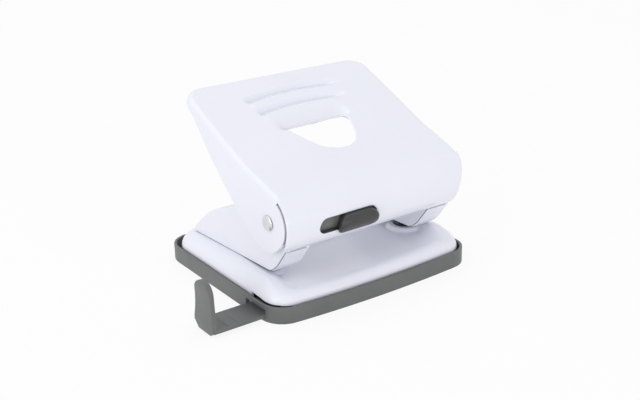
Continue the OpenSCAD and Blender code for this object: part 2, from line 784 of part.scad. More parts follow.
module pivot_shaft() color(bare_steel) {
    reach = lever_half + 0.2;
    at_pivot() {
        rod_x(-reach, reach, shaft_d);
        both_sides() translate([reach - seat, 0, 0]) rotate([0, 90, 0]) {
            cylinder(h = 0.7, d = shaft_head_d, $fn = 48);
            translate([0, 0, 0.7]) cylinder(h = 0.8, d1 = shaft_head_d, d2 = shaft_head_d * 0.55, $fn = 48);
        }
    }
}

module pivot_washers() color(bare_steel) {
    at_pivot() both_sides() difference() {
        rod_x(plate_out + seat, plate_out + washer_gap - seat, washer_d);
        rod_x(plate_out - over, plate_out + washer_gap + over, shaft_d + 2 * shaft_fit);
    }
}

// Cross member under the panel, with a rounded foot over each punch
module pusher_bar() color(bare_steel) {
    foot_u = (pivot_y - punch_y) * cos(lever_slope);
    foot_v = -(pivot_y - punch_y) * sin(lever_slope);
    under = panel_v - lever_t - 0.02;
    leg_w = inner_gap - 1.4;
    in_lever() {
        translate([-half_pitch - leg_w / 2, bar_u, under - bar_t])
            cube([hole_spacing + leg_w, bar_w, bar_t]);
        translate([-half_pitch - leg_w / 2, bar_u, under - 3 * bar_t])
            cube([hole_spacing + leg_w, bracket_t, 2.5 * bar_t]);
        for (s = [-1, 1]) along_x(s * half_pitch - leg_w / 2, s * half_pitch + leg_w / 2) {
            translate([foot_u, foot_v]) circle(r = foot_r, $fn = 48);
            polygon([[foot_u - foot_r, foot_v], [foot_u + foot_r, foot_v],
                     [bar_u + bar_w, under - bar_t / 2], [bar_u, under - bar_t / 2]]);
        }
    }
}

// ---------- lock ----------

module lock_slider() color(grey_plastic) {
    in_lock() {
        // grip outside the nose
        difference() {
            translate([-lock_right - knob_l + 1, 0, 0]) along_x(0, knob_l) polygon([
                [-knob_r, lock_slot_h / 2 - 0.3], [-knob_r - 1, lock_slot_h / 2 - 0.5], [-knob_r - 3, 0.4],
                [-knob_r - 3.2, -1], [-knob_r - 3, -4.2], [-knob_r - 1.6, -6.2], [-knob_r, -6.4]]);
            // rounded ends
            for (s = [0, 1]) translate([-lock_right - knob_l + 1 + s * knob_l, -knob_r - 5.2, -1.4])
                rotate([0, 0, 45]) cube([4.4, 4.4, through], center = true);
        }
        // neck through the slot, with round ends, seated on the curved shield
        difference() {
            translate([0, -lock_plate_r, 0]) rotate([90, 0, 0])
                linear_extrude(knob_r + neck_in - lock_plate_r)
                    polygon(concat(arc(neck_r, -90, 90, 12, -lock_right - 0.8 - neck_r, 0),
                                   arc(neck_r, 90, 270, 12, -neck_x0 + neck_r, 0)));
            rod_x(-2 * lock_slot_x, lock_slot_x, 2 * (shield_r + seat), 180);
        }
        // two pegs that hold the inner plate
        for (x = lock_pegs()) translate([x, over - knob_r, 0]) rotate([-90, 0, 0])
            cylinder(h = knob_r - over - lock_plate_r + lock_plate_t + peg_out, d = peg_d, $fn = 32);
    }
}

function lock_pegs() = [-neck_x0 + 4, -lock_right - 5];

module lock_plate() color(grey_plastic) {
    in_lock() difference() {
        union() {
            // curved shield that closes the slot from inside
            along_x(-lock_slot_x - shield_lap, -lock_right + lock_travel + shield_lap)
                ring_sector(shield_r - shield_t, shield_r, 180 - shield_half_a, 180 + shield_half_a);
            // flat back
            along_x(-lock_body_end, -lock_right - 0.3) intersection() {
                circle(r = shield_r - shield_t / 2, $fn = 180);
                translate([-nose_r, -lock_plate_h / 2])
                    square([nose_r - lock_plate_r + lock_plate_t, lock_plate_h]);
            }
            // tongue that catches behind the bracket's tooth
            translate([-tongue_end, -lock_plate_r, tongue_z - tongue_h / 2])
                cube([tongue_end - lock_body_end + 1, lock_plate_t, tongue_h]);
        }
        for (x = lock_pegs()) translate([x, -nose_r, 0]) rotate([-90, 0, 0])
            cylinder(h = nose_r, d = peg_d + 2 * press_gap, $fn = 32);
    }
}

chip_tray();
nonslip_pads();
paper_guide();
base_plate();
hinge_pins();
left_die_bush();
right_die_bush();
left_bracket();
right_bracket();
bracket_rivets();
left_guide_bush();
right_guide_bush();
left_return_spring();
right_return_spring();
lever_handle();
pivot_shaft();
pivot_washers();
pusher_bar();
lock_slider();
lock_plate();
left_punch_pin();
right_punch_pin();
left_spring_seat();
right_spring_seat();
left_circlip();
right_circlip();
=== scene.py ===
"""Two-hole desk punch, dressed for the photograph.

Pressed sheet-steel parts in gloss white stove enamel over a grey moulded chip tray. New pieces
are numpy surfaces, written in millimetres; the tray, its guide and the springs are copies of the
solids. X runs along the width, +Y to the back, +Z up, origin in the middle of the resting plane.
"""
import math

import bmesh
import bpy
import numpy as np
from mathutils import Matrix, Vector


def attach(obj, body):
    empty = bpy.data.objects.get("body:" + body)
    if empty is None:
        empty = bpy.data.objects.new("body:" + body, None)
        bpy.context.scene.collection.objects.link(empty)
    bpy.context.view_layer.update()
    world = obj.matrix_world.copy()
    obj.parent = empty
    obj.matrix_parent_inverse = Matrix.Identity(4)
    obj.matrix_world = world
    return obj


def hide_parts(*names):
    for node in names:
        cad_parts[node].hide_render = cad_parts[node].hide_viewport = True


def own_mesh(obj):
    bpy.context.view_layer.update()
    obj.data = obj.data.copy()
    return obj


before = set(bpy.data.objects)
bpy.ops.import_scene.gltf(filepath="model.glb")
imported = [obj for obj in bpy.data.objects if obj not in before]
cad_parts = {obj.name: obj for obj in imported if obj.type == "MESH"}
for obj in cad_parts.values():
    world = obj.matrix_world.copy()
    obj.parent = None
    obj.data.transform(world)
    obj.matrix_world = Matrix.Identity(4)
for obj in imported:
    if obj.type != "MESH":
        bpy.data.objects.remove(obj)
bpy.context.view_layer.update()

MM = 0.001

# -------------------- sizes, those of the part's source where the photograph agrees

# Lever, in its own plane: u runs back along the panel, v up from the pivot
PIVOT_Y, PIVOT_Z = -36.2, 44.5
SLOPE = math.radians(22.1)
SHEET = 1.6
LEVER_HALF = 50.5
NOSE_R = 14.6
PANEL_V = 12.6
FOLD_R = 2.2
CORNER_U, REAR_R = 73.0, 9.0
CORNER_X = LEVER_HALF - REAR_R
LIP = 5.0
SLIT_A, EDGE_A, APRON_A = 100.0, 214.5, 196.0
APRON_STEP = 4.0
CHEEK_R = 12.4

# Lock, in its own plane: the knob's base lies on the nose, z is measured across it
LOCK_A = math.radians(10.5)
SHIELD_R, KNOB_BASE_R, KNOB_RISE = 12.5, 14.9, 3.1

# Base plate
SKIRT_X, SKIRT_Y, SKIRT_REAR = 54.7, 46.9, 44.9
SKIRT_R, REAR_SKIRT_R, BOW = 10.5, 11.0, 1.8
SKIRT_TOP, TABLE_Z, STOP_Z, STOP_Y = 7.5, 13.0, 16.5, -6.0
SHOULDER_X, SHOULDER_Y = 8.2, 5.2
# Start and run of the step at the paper stop, between the brackets and outside them
STEP_Y, STEP_RUN, SLOPE_Y, SLOPE_RUN, SLOPE_BLEND = STOP_Y + 0.1, 1.3, -45.0, 15.0, 6.4
BOW_DEPTH, BASE_SHEET = 12.0, 1.3
RAMP = math.radians(3.15)
HOLE_X, HOLE_Y = 40.0, -18.0
DIE_R, DIE_EDGE, RING_R, BOSS_R, BOSS_H, DISH_R, DISH_H = 5.52, 0.23, 9.7, 10.2, 1.6, 7.6, 2.2
# Wedge cut into the skirt over the paper guide, and the skirt's foot
NOTCH_Y, NOTCH_L, NOTCH_Z, NOTCH_FALL, FOOT_Z = 26.4, 26.0, 9.0, 1.7, 2.6

# Brackets
PLATE_IN, PLATE_OUT, PLATE_T, EAR_R, FOOT_GAP = 33.5, 46.5, 1.8, 8.0, 0.08
SHAFT_R, SHAFT_GAP, BUSH_R, RIVET_R, WEB_Z = 3.0, 0.05, 4.02, 2.02, 17.9
HINGE_Y, HINGE_Z, HINGE_X, BARREL_R, BARREL_L = 48.1, 7.8, 32.0, 2.2, 6.0

# Meshes: welding distances, and the angles that part a flat face, a bevelled edge and a sharp edge
WELD, MERGE, FLAT_DEG, BEVEL_DEG, SOFT_SHARP = 0.004, 0.003, 0.6, 35.0, 40.0

# Room, lamps and floor, then the camera: strengths, watts, metres, degrees and pixels
ROOM_LIGHT, FLOOR_GLOW, TOP_POWER, LEFT_POWER, FRONT_POWER = 0.73, 0.88, 1.7, 2.4, 1.5
FLOOR_HALF, FLOOR_Z = 3, -0.0001
CAMERA_AT, CAMERA_TURN = (-0.30856, -0.44458, 0.25368), (34.96, 22.41, -1.148)
FOCAL_PX, IMAGE_PX, SENSOR = 1217.1, 640.0, 36.0


# -------------------- mesh helpers

def clamp(t):
    return np.clip(t, 0.0, 1.0)


def soft_step(t):
    """Smooth rise from 0 to 1: 3t^2 - 2t^3 between t = 0 and t = 1."""
    t = clamp(t)
    return t * t * (3.0 - 2.0 * t)


def joined(*columns):
    """Coordinates put side by side as the last axis; a single number fills its column."""
    return np.stack(np.broadcast_arrays(*columns), axis=-1)


def arc_points(radius, start, end, count, cx=0.0, cy=0.0):
    """Points (cx + r cos a, cy + r sin a) for equally spaced angles a, in degrees."""
    a = np.radians(np.linspace(start, end, count))
    return joined(cx + radius * np.cos(a), cy + radius * np.sin(a))


def run_of(points):
    """Length along a polyline at each of its points."""
    steps = np.linalg.norm(np.diff(np.asarray(points, float), axis=0), axis=1)
    return np.concatenate([[0.0], np.cumsum(steps)])


def along(points, distances):
    """Point at each distance along an open polyline, by linear interpolation of its length."""
    points = np.asarray(points, float)
    run = run_of(points)
    return joined(*(np.interp(distances, run, column) for column in points.T))


def resample(points, count):
    """The polyline cut into count points at equal distances."""
    return along(points, np.linspace(0.0, run_of(points)[-1], count))


def closed(points):
    return np.concatenate([points, points[:1]])


def looped(points, count):
    """The closed outline cut into count points at equal distances."""
    loop = closed(points)
    return along(loop, np.linspace(0.0, run_of(loop)[-1], count, endpoint=False))


def soften(points, radius, count, loop=True, samples=1200):
    """Outline averaged over a window of the given radius, then cut at equal distances. An open
    line keeps its ends: it is continued past them by its own reflection."""
    source = closed(points) if loop else np.asarray(points, float)
    total = run_of(source)[-1]
    fine = along(source, np.linspace(0.0, total, samples, endpoint=not loop))
    half = max(int(radius / total * samples), 1)
    window = np.hanning(2 * half + 1)
    window /= window.sum()
    before, after = fine[-half:], fine[:half]
    if not loop:
        before = 2 * fine[0] - fine[1:half + 1][::-1]
        after = 2 * fine[-1] - fine[-half - 1:-1][::-1]
    padded = np.concatenate([before, fine, after])
    smooth = joined(*(np.convolve(column, window, mode="valid") for column in padded.T))
    return looped(smooth, count) if loop else resample(smooth, count)


def unit(vectors):
    """The vectors at length 1."""
    return vectors / np.linalg.norm(vectors, axis=1, keepdims=True)


def outward(outline):
    """Unit normals of a closed outline that runs anticlockwise."""
    tangent = unit(np.roll(outline, -1, axis=0) - np.roll(outline, 1, axis=0))
    return joined(tangent[:, 1], -tangent[:, 0])


def quads_of(rows, cols, wrap=False):
    """Corner numbers of the quads of a grid; wrap joins the last column to the first."""
    number = np.arange(rows * cols).reshape(rows, cols)
    if wrap:
        number = np.concatenate([number, number[:, :1]], axis=1)
    return joined(number[:-1, :-1], number[:-1, 1:], number[1:, 1:], number[1:, :-1])


def volume(parts):
    """Signed volume inside a set of (points, quads), from the triple products of its triangles."""
    total = 0.0
    for points, quads in parts:
        a, b, c, d = (points[quads[:, k]] for k in range(4))
        total += (a * np.cross(b, c)).sum() + (a * np.cross(c, d)).sum()
    return total / 6.0


def placed(name, data):
    """New object in the scene, at the origin."""
    obj = bpy.data.objects.new(name, data)
    bpy.context.scene.collection.objects.link(obj)
    return obj


class Skin:
    """Vertices and quads of one piece, gathered from grids and welded where the grids meet."""

    def __init__(self):
        self.points, self.quads, self.count = [], [], 0

    def add(self, points, quads):
        self.points.append(points)
        self.quads.append(quads + self.count)
        self.count += len(points)

    def grid(self, surface, flip=False, wrap=False, keep=None):
        """Adds a (rows, columns, 3) array of points as quads; keep is a mask of the cells that
        stay. Faces look along column direction x row direction, or the other way with flip."""
        quad = quads_of(*surface.shape[:2], wrap)
        if keep is not None:
            quad = quad[keep]
        quad = quad.reshape(-1, 4)
        self.add(np.asarray(surface, float).reshape(-1, 3), quad[:, ::-1] if flip else quad)
        return self

    def solid(self, *surfaces):
        """Adds grids that close a volume between them, all faces turned outward by its sign.
        Each is a grid, or a pair of a grid and its options out of 'wrap' and 'flip'."""
        parts = []
        for item in surfaces:
            surface, options = item if isinstance(item, tuple) else (item, "")
            quad = quads_of(*surface.shape[:2], "wrap" in options).reshape(-1, 4)
            parts.append((surface.reshape(-1, 3), quad[:, ::-1] if "flip" in options else quad))
        inside_out = volume(parts) < 0.0
        for points, quad in parts:
            self.add(points, quad[:, ::-1] if inside_out else quad)
        return self

    def slab(self, top, bottom):
        """Sheet between two equal grids: both faces, and a strip round the rim."""
        rim = np.stack([np.concatenate([grid[0], grid[1:, -1], grid[-1, -2::-1], grid[-2:0:-1, 0]])
                        for grid in (top, bottom)])
        return self.solid(top, (bottom, "flip"), (rim, "wrap flip"))

    def plate(self, outline, hole, low, high, ease, place):
        """Flat plate with one hole. Rows go out along the high face, over the eased edge, back
        along the low face and up through the hole. place(a, b, c) puts plane point (a, b) at c."""
        normal = outward(outline)
        edge = outline - normal * ease
        rows = [(hole + (edge - hole) * share, high) for share in (0.0, 0.04, 0.25, 0.5, 0.75, 1.0)]
        for angle in np.radians([30.0, 60.0, 90.0]):
            out, down = math.sin(angle), 1 - math.cos(angle)
            rows.append((edge + normal * ease * out, high - ease * down))
        rows += [(flat, low + high - level) for flat, level in rows[::-1]] + rows[:1]
        return self.solid((np.stack([place(*flat.T, level) for flat, level in rows]), "wrap"))

    def piece(self, name, material, sharp, thickness=0.0, even=True):
        """Makes the object: welds doubles, drops collapsed faces, gives a sheet its thickness
        inward, and marks edges sharper than the given angle."""
        mesh = bpy.data.meshes.new(name)
        points = np.concatenate(self.points) * MM
        mesh.from_pydata(points.tolist(), [], np.concatenate(self.quads).tolist())
        work = bmesh.new()
        work.from_mesh(mesh)
        bmesh.ops.remove_doubles(work, verts=work.verts, dist=WELD * MM)
        bmesh.ops.dissolve_degenerate(work, edges=work.edges, dist=WELD * MM * 0.5)
        bmesh.ops.delete(work, geom=[v for v in work.verts if not v.link_faces], context="VERTS")
        work.to_mesh(mesh)
        work.free()
        mesh.materials.append(material)
        obj = placed(name, mesh)
        if thickness > 0.0:
            wall = obj.modifiers.new("Sheet", "SOLIDIFY")
            wall.thickness = thickness * MM
            wall.offset = -1.0
            wall.use_even_offset = even
        return finished(obj, sharp)


def finished(obj, sharp):
    """Applies an object's modifiers, smooths its shading and marks its sharp edges."""
    if obj.modifiers:
        view = bpy.context.evaluated_depsgraph_get()
        mesh = bpy.data.meshes.new_from_object(obj.evaluated_get(view))
        obj.modifiers.clear()
        obj.data = mesh
    mesh = obj.data
    mesh.name = obj.name
    mesh.polygons.foreach_set("use_smooth", np.ones(len(mesh.polygons), dtype=bool))
    mesh.set_sharp_from_angle(angle=math.radians(sharp))
    mesh.update()
    return obj


def softened(node, name, material, width):
    """Copy of a CAD node: its triangles merged into flat faces, its edges rounded by a bevel."""
    obj = placed(name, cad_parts[node].data.copy())
    work = bmesh.new()
    work.from_mesh(obj.data)
    bmesh.ops.remove_doubles(work, verts=work.verts, dist=MERGE * MM)
    bmesh.ops.dissolve_limit(work, angle_limit=math.radians(FLAT_DEG), verts=work.verts,
                             edges=work.edges)
    work.to_mesh(obj.data)
    work.free()
    obj.data.materials.clear()
    obj.data.materials.append(material)
    bevel = obj.modifiers.new("Soft edges", "BEVEL")
    bevel.width = width * MM
    bevel.segments = 3
    bevel.limit_method = "ANGLE"
    bevel.angle_limit = math.radians(BEVEL_DEG)
    return finished(obj, SOFT_SHARP)


def turned(points, cx, cy, cz, count=64):
    """Surface of revolution about a line along X: rows of (x, radius), columns at equal angles."""
    points = np.asarray(points, float)
    angle = np.radians(np.linspace(0, 360, count, endpoint=False))
    radius = points[:, 1:]
    return joined(points[:, :1] + cx, cy + radius * np.cos(angle), cz + radius * np.sin(angle))


def dress(piece, slot, body, *nodes):
    """Finish slot, which is not used; body to ride on, and the CAD nodes that the piece stands for,
    if any.
    """
    if nodes:
        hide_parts(*nodes)
    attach(piece, body)


# -------------------- materials

class Graph:
    """Node tree with short ways to add, set and link its nodes."""

    def __init__(self, tree):
        self.nodes, self.links = tree.nodes, tree.links

    def feed(self, socket, value):
        """Links an input to an output, or sets it to a constant."""
        if isinstance(value, bpy.types.NodeSocket):
            self.links.new(value, socket)
        else:
            socket.default_value = value

    def fill(self, node, **inputs):
        """Feeds inputs by name, with _ in place of a space."""
        for name, value in inputs.items():
            self.feed(node.inputs[name.replace("_", " ")], value)
        return node

    def add(self, kind, **inputs):
        return self.fill(self.nodes.new("ShaderNode" + kind), **inputs)

    def mixed(self, share, first, second):
        """Mix of two shaders."""
        node = self.add("MixShader", Fac=share)
        self.feed(node.inputs[1], first)
        self.feed(node.inputs[2], second)
        return node.outputs["Shader"]

    def straight_rays(self):
        """1 for rays from the camera, off a glossy surface or through glass; 0 for all others."""
        ray = self.add("LightPath").outputs
        last = ray["Is Camera Ray"]
        for kind in ("Is Glossy Ray", "Is Transmission Ray"):
            both = self.add("Math")
            both.operation = "MAXIMUM"
            self.feed(both.inputs[0], last)
            self.feed(both.inputs[1], ray[kind])
            last = both.outputs["Value"]
        return last


class Finish(Graph):
    """Procedural material on object coordinates, built round its default shader."""

    def __init__(self, name):
        self.material = bpy.data.materials.new(name)
        self.material.use_nodes = True
        super().__init__(self.material.node_tree)
        self.shader = next(n for n in self.nodes if n.type == "BSDF_PRINCIPLED")
        self.place = self.add("TexCoord").outputs["Object"]

    def noise(self, scale, detail=2.0, place=None):
        place = self.place if place is None else place
        return self.add("TexNoise", Scale=scale, Detail=detail, Vector=place).outputs["Fac"]

    def ramp(self, source, dark, light, low=0.3, high=0.7):
        """Colour that goes from dark at low to light at high."""
        node = self.add("ValToRGB", Fac=source)
        first, second = node.color_ramp.elements
        first.position, first.color = low, (*dark, 1.0)
        second.position, second.color = high, (*light, 1.0)
        return node.outputs["Color"]

    def span(self, source, low, high):
        """Maps a 0-1 value to low-high."""
        return self.add("MapRange", Value=source, To_Min=low, To_Max=high).outputs["Result"]

    def bump(self, height, strength, distance):
        node = self.add("Bump", Height=height, Strength=strength, Distance=distance)
        self.fill(self.shader, Normal=node.outputs["Normal"])

    def done(self, **inputs):
        self.fill(self.shader, **inputs)
        return self.material


def enamel():
    """Gloss white stove enamel: faint orange peel, a cool tint and slow drifts of tone. Shade is
    painted into its colour where two faces all but meet."""
    paint = Finish("gloss_enamel")
    tint = paint.ramp(paint.noise(22.0, 3.0), (0.858, 0.870, 0.962), (0.876, 0.887, 0.974))
    # painted shade: ambient occlusion within 3 mm darkens the tint in crevices and between parts
    painted_shade_mask = paint.add("AmbientOcclusion", Distance=0.003, Color=tint).outputs["AO"]
    painted_shade = paint.ramp(painted_shade_mask, (0.12, 0.12, 0.14), (1.0, 1.0, 1.0), 0.02, 0.5)
    tint_with_painted_shade = paint.add("MixRGB", Fac=1.0, Color1=tint, Color2=painted_shade)
    tint_with_painted_shade.blend_type = "MULTIPLY"
    paint.bump(paint.noise(520.0, 1.0), 0.10, 0.00006)
    return paint.done(Base_Color=tint_with_painted_shade.outputs["Color"], IOR=1.5, Coat_Weight=0.35,
                      Coat_Roughness=0.06, Roughness=paint.span(paint.noise(300.0), 0.20, 0.27))


def moulded_grey(name, dark, light, rough):
    """Injection-moulded grey plastic: fine spark-eroded grain and a soft sheen."""
    plastic = Finish(name)
    grain = plastic.noise(2600.0)
    plastic.bump(grain, 0.25, 0.00004)
    return plastic.done(Base_Color=plastic.ramp(plastic.noise(90.0, 4.0), dark, light),
                        Roughness=plastic.span(grain, rough - 0.07, rough + 0.07))


def metal(name, dark, light, rough, grain_scale=700.0, brushed=(1.0, 1.0, 1.0)):
    """Bare metal: grain stretched along the given axes, and small changes of tone."""
    bare = Finish(name)
    stretched = bare.add("Mapping", Vector=bare.place, Scale=brushed).outputs["Vector"]
    grain = bare.noise(grain_scale, 3.0, stretched)
    bare.bump(grain, 0.12, 0.00003)
    return bare.done(Base_Color=bare.ramp(grain, dark, light), Metallic=1.0,
                     Roughness=bare.span(grain, rough - 0.06, rough + 0.08))


def rubber():
    pad = Finish("pad_rubber")
    tone = pad.noise(400.0, 4.0)
    pad.bump(tone, 0.3, 0.0001)
    return pad.done(Base_Color=pad.ramp(tone, (0.018, 0.018, 0.019), (0.035, 0.035, 0.036)),
                    Roughness=0.85)


WHITE = enamel()
GREY = moulded_grey("moulded_grey", (0.130, 0.132, 0.133), (0.152, 0.154, 0.154), 0.42)
KNOB_GREY = moulded_grey("knob_grey", (0.034, 0.035, 0.034), (0.044, 0.045, 0.043), 0.30)
STEEL = metal("zinc_steel", (0.58, 0.59, 0.61), (0.72, 0.73, 0.75), 0.26)
POLISHED = metal("polished_steel", (0.66, 0.665, 0.68), (0.80, 0.805, 0.82), 0.17, 60.0)
TOOL = metal("ground_steel", (0.36, 0.37, 0.39), (0.48, 0.49, 0.51), 0.22, 900.0, (1.0, 1.0, 6.0))
BRASS = metal("turned_brass", (0.62, 0.44, 0.17), (0.76, 0.56, 0.24), 0.24, 900.0, (1.0, 1.0, 6.0))
RUBBER = rubber()


# -------------------- lever

# Side profile: end of the nose's arc, the shallow fall behind it, the hollow before the panel
RISE_A, RISE_DEG, RISE_R, HOLLOW_DEG = 87.0, 3.5, 317.0, 6.5
PATH_END, PATH_TICKS = 140.0, 28001

# How the pressing departs from a plain one: the barrel of its sides, the nose's right end drawn
# in from an angle and a radius on, and the rear edge drawn in
SWELL_U, SWELL_LEN, SWELL_LEFT, SWELL_RIGHT = -4.0, 80.0, 1.0, 0.4
END_X, END_BLEND, END_SHIFT, DRAW_A, DRAW_R, DRAW_IN = 36.0, 11.0, -0.3, 95.0, 5.5, 2.1
REAR_U, REAR_BLEND, REAR_IN, REAR_X = 55.0, 26.0, 1.3, 45.0


def side_profile():
    """Side profile of the pressing by its length s: the nose's arc about the pivot, a long shallow
    fall, a hollow, and the flat panel. Each stretch turns at its own rate, and the place is the
    running sum of its steps. Returns s, u, v, the heading, and the length of the nose's arc."""
    hollow, start = math.radians(HOLLOW_DEG), math.radians(EDGE_A)
    nose_l = NOSE_R * math.radians(EDGE_A - RISE_A)
    rise_l = RISE_R * math.radians(RISE_DEG)
    fall = RISE_R * (math.cos(math.radians(HOLLOW_DEG - RISE_DEG)) - math.cos(hollow))
    left = NOSE_R * math.sin(math.radians(RISE_A)) - fall - PANEL_V
    hollow_r = left / (1.0 - math.cos(hollow))
    hollow_l = hollow_r * hollow
    s = np.linspace(0.0, PATH_END, PATH_TICKS)
    mid = (s[1:] + s[:-1]) / 2.0
    rate = np.select([mid < nose_l, mid < nose_l + rise_l, mid < nose_l + rise_l + hollow_l],
                     [-1.0 / NOSE_R, -1.0 / RISE_R, 1.0 / hollow_r], 0.0)
    heading = math.radians(EDGE_A - 90.0) + np.concatenate([[0.0], np.cumsum(rate * np.diff(s))])
    course = (heading[1:] + heading[:-1]) / 2.0
    u = NOSE_R * math.cos(start) + np.concatenate([[0.0], np.cumsum(np.cos(course) * np.diff(s))])
    v = NOSE_R * math.sin(start) + np.concatenate([[0.0], np.cumsum(np.sin(course) * np.diff(s))])
    return s, u, v, heading, nose_l


PATH_S, PATH_U, PATH_V, PATH_HEADING, S_NOSE = side_profile()
PANEL_PART = PATH_S > S_NOSE


def path(s):
    """Point (u, v) of the side profile at length s, and its outward normal."""
    u, v, heading = (np.interp(s, PATH_S, table) for table in (PATH_U, PATH_V, PATH_HEADING))
    return u, v, -np.sin(heading), np.cos(heading)


def s_of_angle(a):
    return NOSE_R * np.radians(EDGE_A - np.asarray(a, float))


def s_of_u(u):
    return np.interp(u, PATH_U[PANEL_PART], PATH_S[PANEL_PART])


def lever_point(x, u, v):
    """Lever's own plane to the model: y = pivot + u cos s - v sin s, z = pivot + u sin s + v cos s.
    The sides swell into a slight barrel, the right end of the nose is drawn in, and so is the
    rear edge, more on its right."""
    x, u, v = np.broadcast_arrays(np.asarray(x, float), u, v)
    barrel = np.sin(math.pi * clamp((u - SWELL_U) / SWELL_LEN))
    turn = np.degrees(np.arctan2(v, u)) % 360.0
    reach = clamp((np.hypot(u, v) - DRAW_R) / (NOSE_R - DRAW_R)) ** 1.5
    front = np.where((turn > DRAW_A) & (turn < DRAW_A + 180.0),
                     1.0 - np.cos(np.radians(2.0 * (turn - DRAW_A))), 0.0)
    right = END_SHIFT + SWELL_RIGHT * barrel - DRAW_IN * front * reach
    left = SWELL_LEFT * barrel
    share = soft_step((np.abs(x) - END_X) / END_BLEND)
    u = u - (REAR_IN + REAR_IN * x / REAR_X) * soft_step((u - REAR_U) / REAR_BLEND)
    x = x + np.sign(x) * share * np.where(x > 0.0, right, left)
    return joined(x, PIVOT_Y + u * math.cos(SLOPE) - v * math.sin(SLOPE),
                  PIVOT_Z + u * math.sin(SLOPE) + v * math.cos(SLOPE))


HAND_X = -1.0
SLOT_X0, SLOT_X1, SLOT_HALF, SLOT_LOCAL_A = -33.0, -2.0, 4.05, 168.4


def hand_outline():
    """Hand hole in (x, u): a nearly straight rear edge, and a round-cornered bowl to the front."""
    rear_r, rear_u = 240.0, 43.5
    rear = arc_points(rear_r, 94.1, 85.9, 31, HAND_X + 0.3, rear_u - rear_r)
    bowl = [[16.2, 39.8], [15.2, 36.4], [13.8, 31.6], [11.9, 26.6], [8.9, 22.5], [4.4, 20.4],
            [-1.4, 20.7], [-8.3, 24.3], [-12.9, 31.4], [-16.5, 38.0]]
    return soften(np.concatenate([rear, bowl]), 2.6, 200)


def slot_outline():
    """Lock slot with round ends, in (x, s), anticlockwise."""
    mid = float(s_of_angle(SLOT_LOCAL_A))
    left = arc_points(SLOT_HALF, 90, 270, 41, SLOT_X0 + SLOT_HALF, mid)
    right = arc_points(SLOT_HALF, 270, 450, 41, SLOT_X1 - SLOT_HALF, mid)
    return looped(np.concatenate([left, right]), 120)


def gap_to(outline, x, s):
    """Distance from each (x, s) to the nearest point of a closed outline."""
    dense = looped(outline, 700)
    flat = joined(np.ravel(x), np.ravel(s))
    blocks = np.array_split(flat, max(len(flat) // 4000, 1))
    nearest = [np.sqrt(((block[:, None] - dense[None]) ** 2).sum(-1)).min(1) for block in blocks]
    return np.concatenate(nearest).reshape(np.shape(x))


def window_ring(border, outline, reaches):
    """Rows from a hole's outline out to the border of its window. Border points are matched to
    outline points by their share of the length, upper half and lower half each on their own, and
    a row lies at its reach from the outline, then closes on the border."""
    centre = outline.mean(axis=0)

    def angle_of(loop):
        x, y = (loop - centre).T
        return np.unwrap(np.arctan2(y, x))

    def measured(points):
        """The loop, anticlockwise, with the angle and the run at each point."""
        loop = closed(points)
        if angle_of(loop)[-1] < angle_of(loop)[0]:
            loop = loop[::-1]
        return loop, angle_of(loop), run_of(loop)

    def run_at(angle, angles, run):
        return np.interp((angle - angles[0]) % (2.0 * math.pi) + angles[0], angles, run)

    hole_loop, hole_angle, hole_run = measured(outline)
    edge_loop, edge_angle, edge_run = measured(border)
    hole_right, hole_left = (run_at(a, hole_angle, hole_run) for a in (0.0, math.pi))
    edge_right, edge_left = (run_at(a, edge_angle, edge_run) for a in (0.0, math.pi))
    hole_upper = (hole_left - hole_right) % hole_run[-1]
    edge_upper = (edge_left - edge_right) % edge_run[-1]
    at = (edge_run[:-1] - edge_right) % edge_run[-1]
    lower = (at - edge_upper) / (edge_run[-1] - edge_upper) * (hole_run[-1] - hole_upper)
    target = np.where(at <= edge_upper, at / edge_upper * hole_upper, hole_upper + lower)
    hole = along(hole_loop, (hole_right + target) % hole_run[-1])
    edge = edge_loop[:-1]
    reaches = np.asarray(reaches, float)[:, None]
    share = clamp(reaches / np.linalg.norm(edge - hole, axis=1)[None])
    late = soft_step(np.linspace(-1.0, 1.0, len(reaches)))[:, None]
    share = np.maximum.accumulate(clamp(share + (1.0 - share[-1:]) * late), axis=0)
    share[-1] = 1.0
    return hole[None] + (edge - hole)[None] * share[..., None]


HAND = hand_outline()
HAND_S = joined(HAND[:, 0], s_of_u(HAND[:, 1]))
SLOT = slot_outline()

# Rolled-in rim of the hand hole, eased rims, and the grooves: middle and half width of each
ROLL_DEPTH, ROLL_W, ROLL_U, ROLL_X = 3.0, 8.5, 39.0, 22.0
RIM_DEPTH, RIM_W, SLOT_RIM_DEPTH, SLOT_RIM_W = 0.42, 0.9, 0.4, 0.7
GROOVES, GROOVE_X, GROOVE_BOW_R, GROOVE_DEPTH = ((58.2, 26.0), (68.4, 27.5)), 1.0, 120.0, 2.1


def lever_height(x, s):
    """How far the enamel face stands off the plain profile: rolled-in rim of the hand hole with
    the thumb hollow behind it, two finger grooves, and the eased rim of the lock slot."""
    u = path(s)[0]
    near_hand = gap_to(HAND_S, x, s)
    behind = soft_step((u - ROLL_U) / 4.0)
    across = soft_step((ROLL_X - np.abs(x - HAND_X)) / 7.0)
    height = -ROLL_DEPTH * clamp(1.0 - near_hand / ROLL_W) ** 1.7 * behind * across
    height -= RIM_DEPTH * clamp(1.0 - near_hand / RIM_W) ** 2 * (1.0 - 0.4 * behind)
    off = x - GROOVE_X
    bow = GROOVE_BOW_R - np.sqrt(np.maximum(GROOVE_BOW_R ** 2 - off ** 2, 0.0))
    for mid, half in GROOVES:
        away = u - mid + bow
        groove = (np.exp(-(away / np.where(away > 0.0, 1.2, 2.4)) ** 2)
                  - 0.22 * np.exp(-((away + 4.6) / 2.4) ** 2))
        end = np.where(off > 0.0, (half - off) / 9.0, (half + off) / 3.5)
        height -= GROOVE_DEPTH * groove * soft_step(end)
    near_slot = gap_to(SLOT, x, s)
    return height - SLOT_RIM_DEPTH * clamp(1.0 - near_slot / SLOT_RIM_W) ** 2


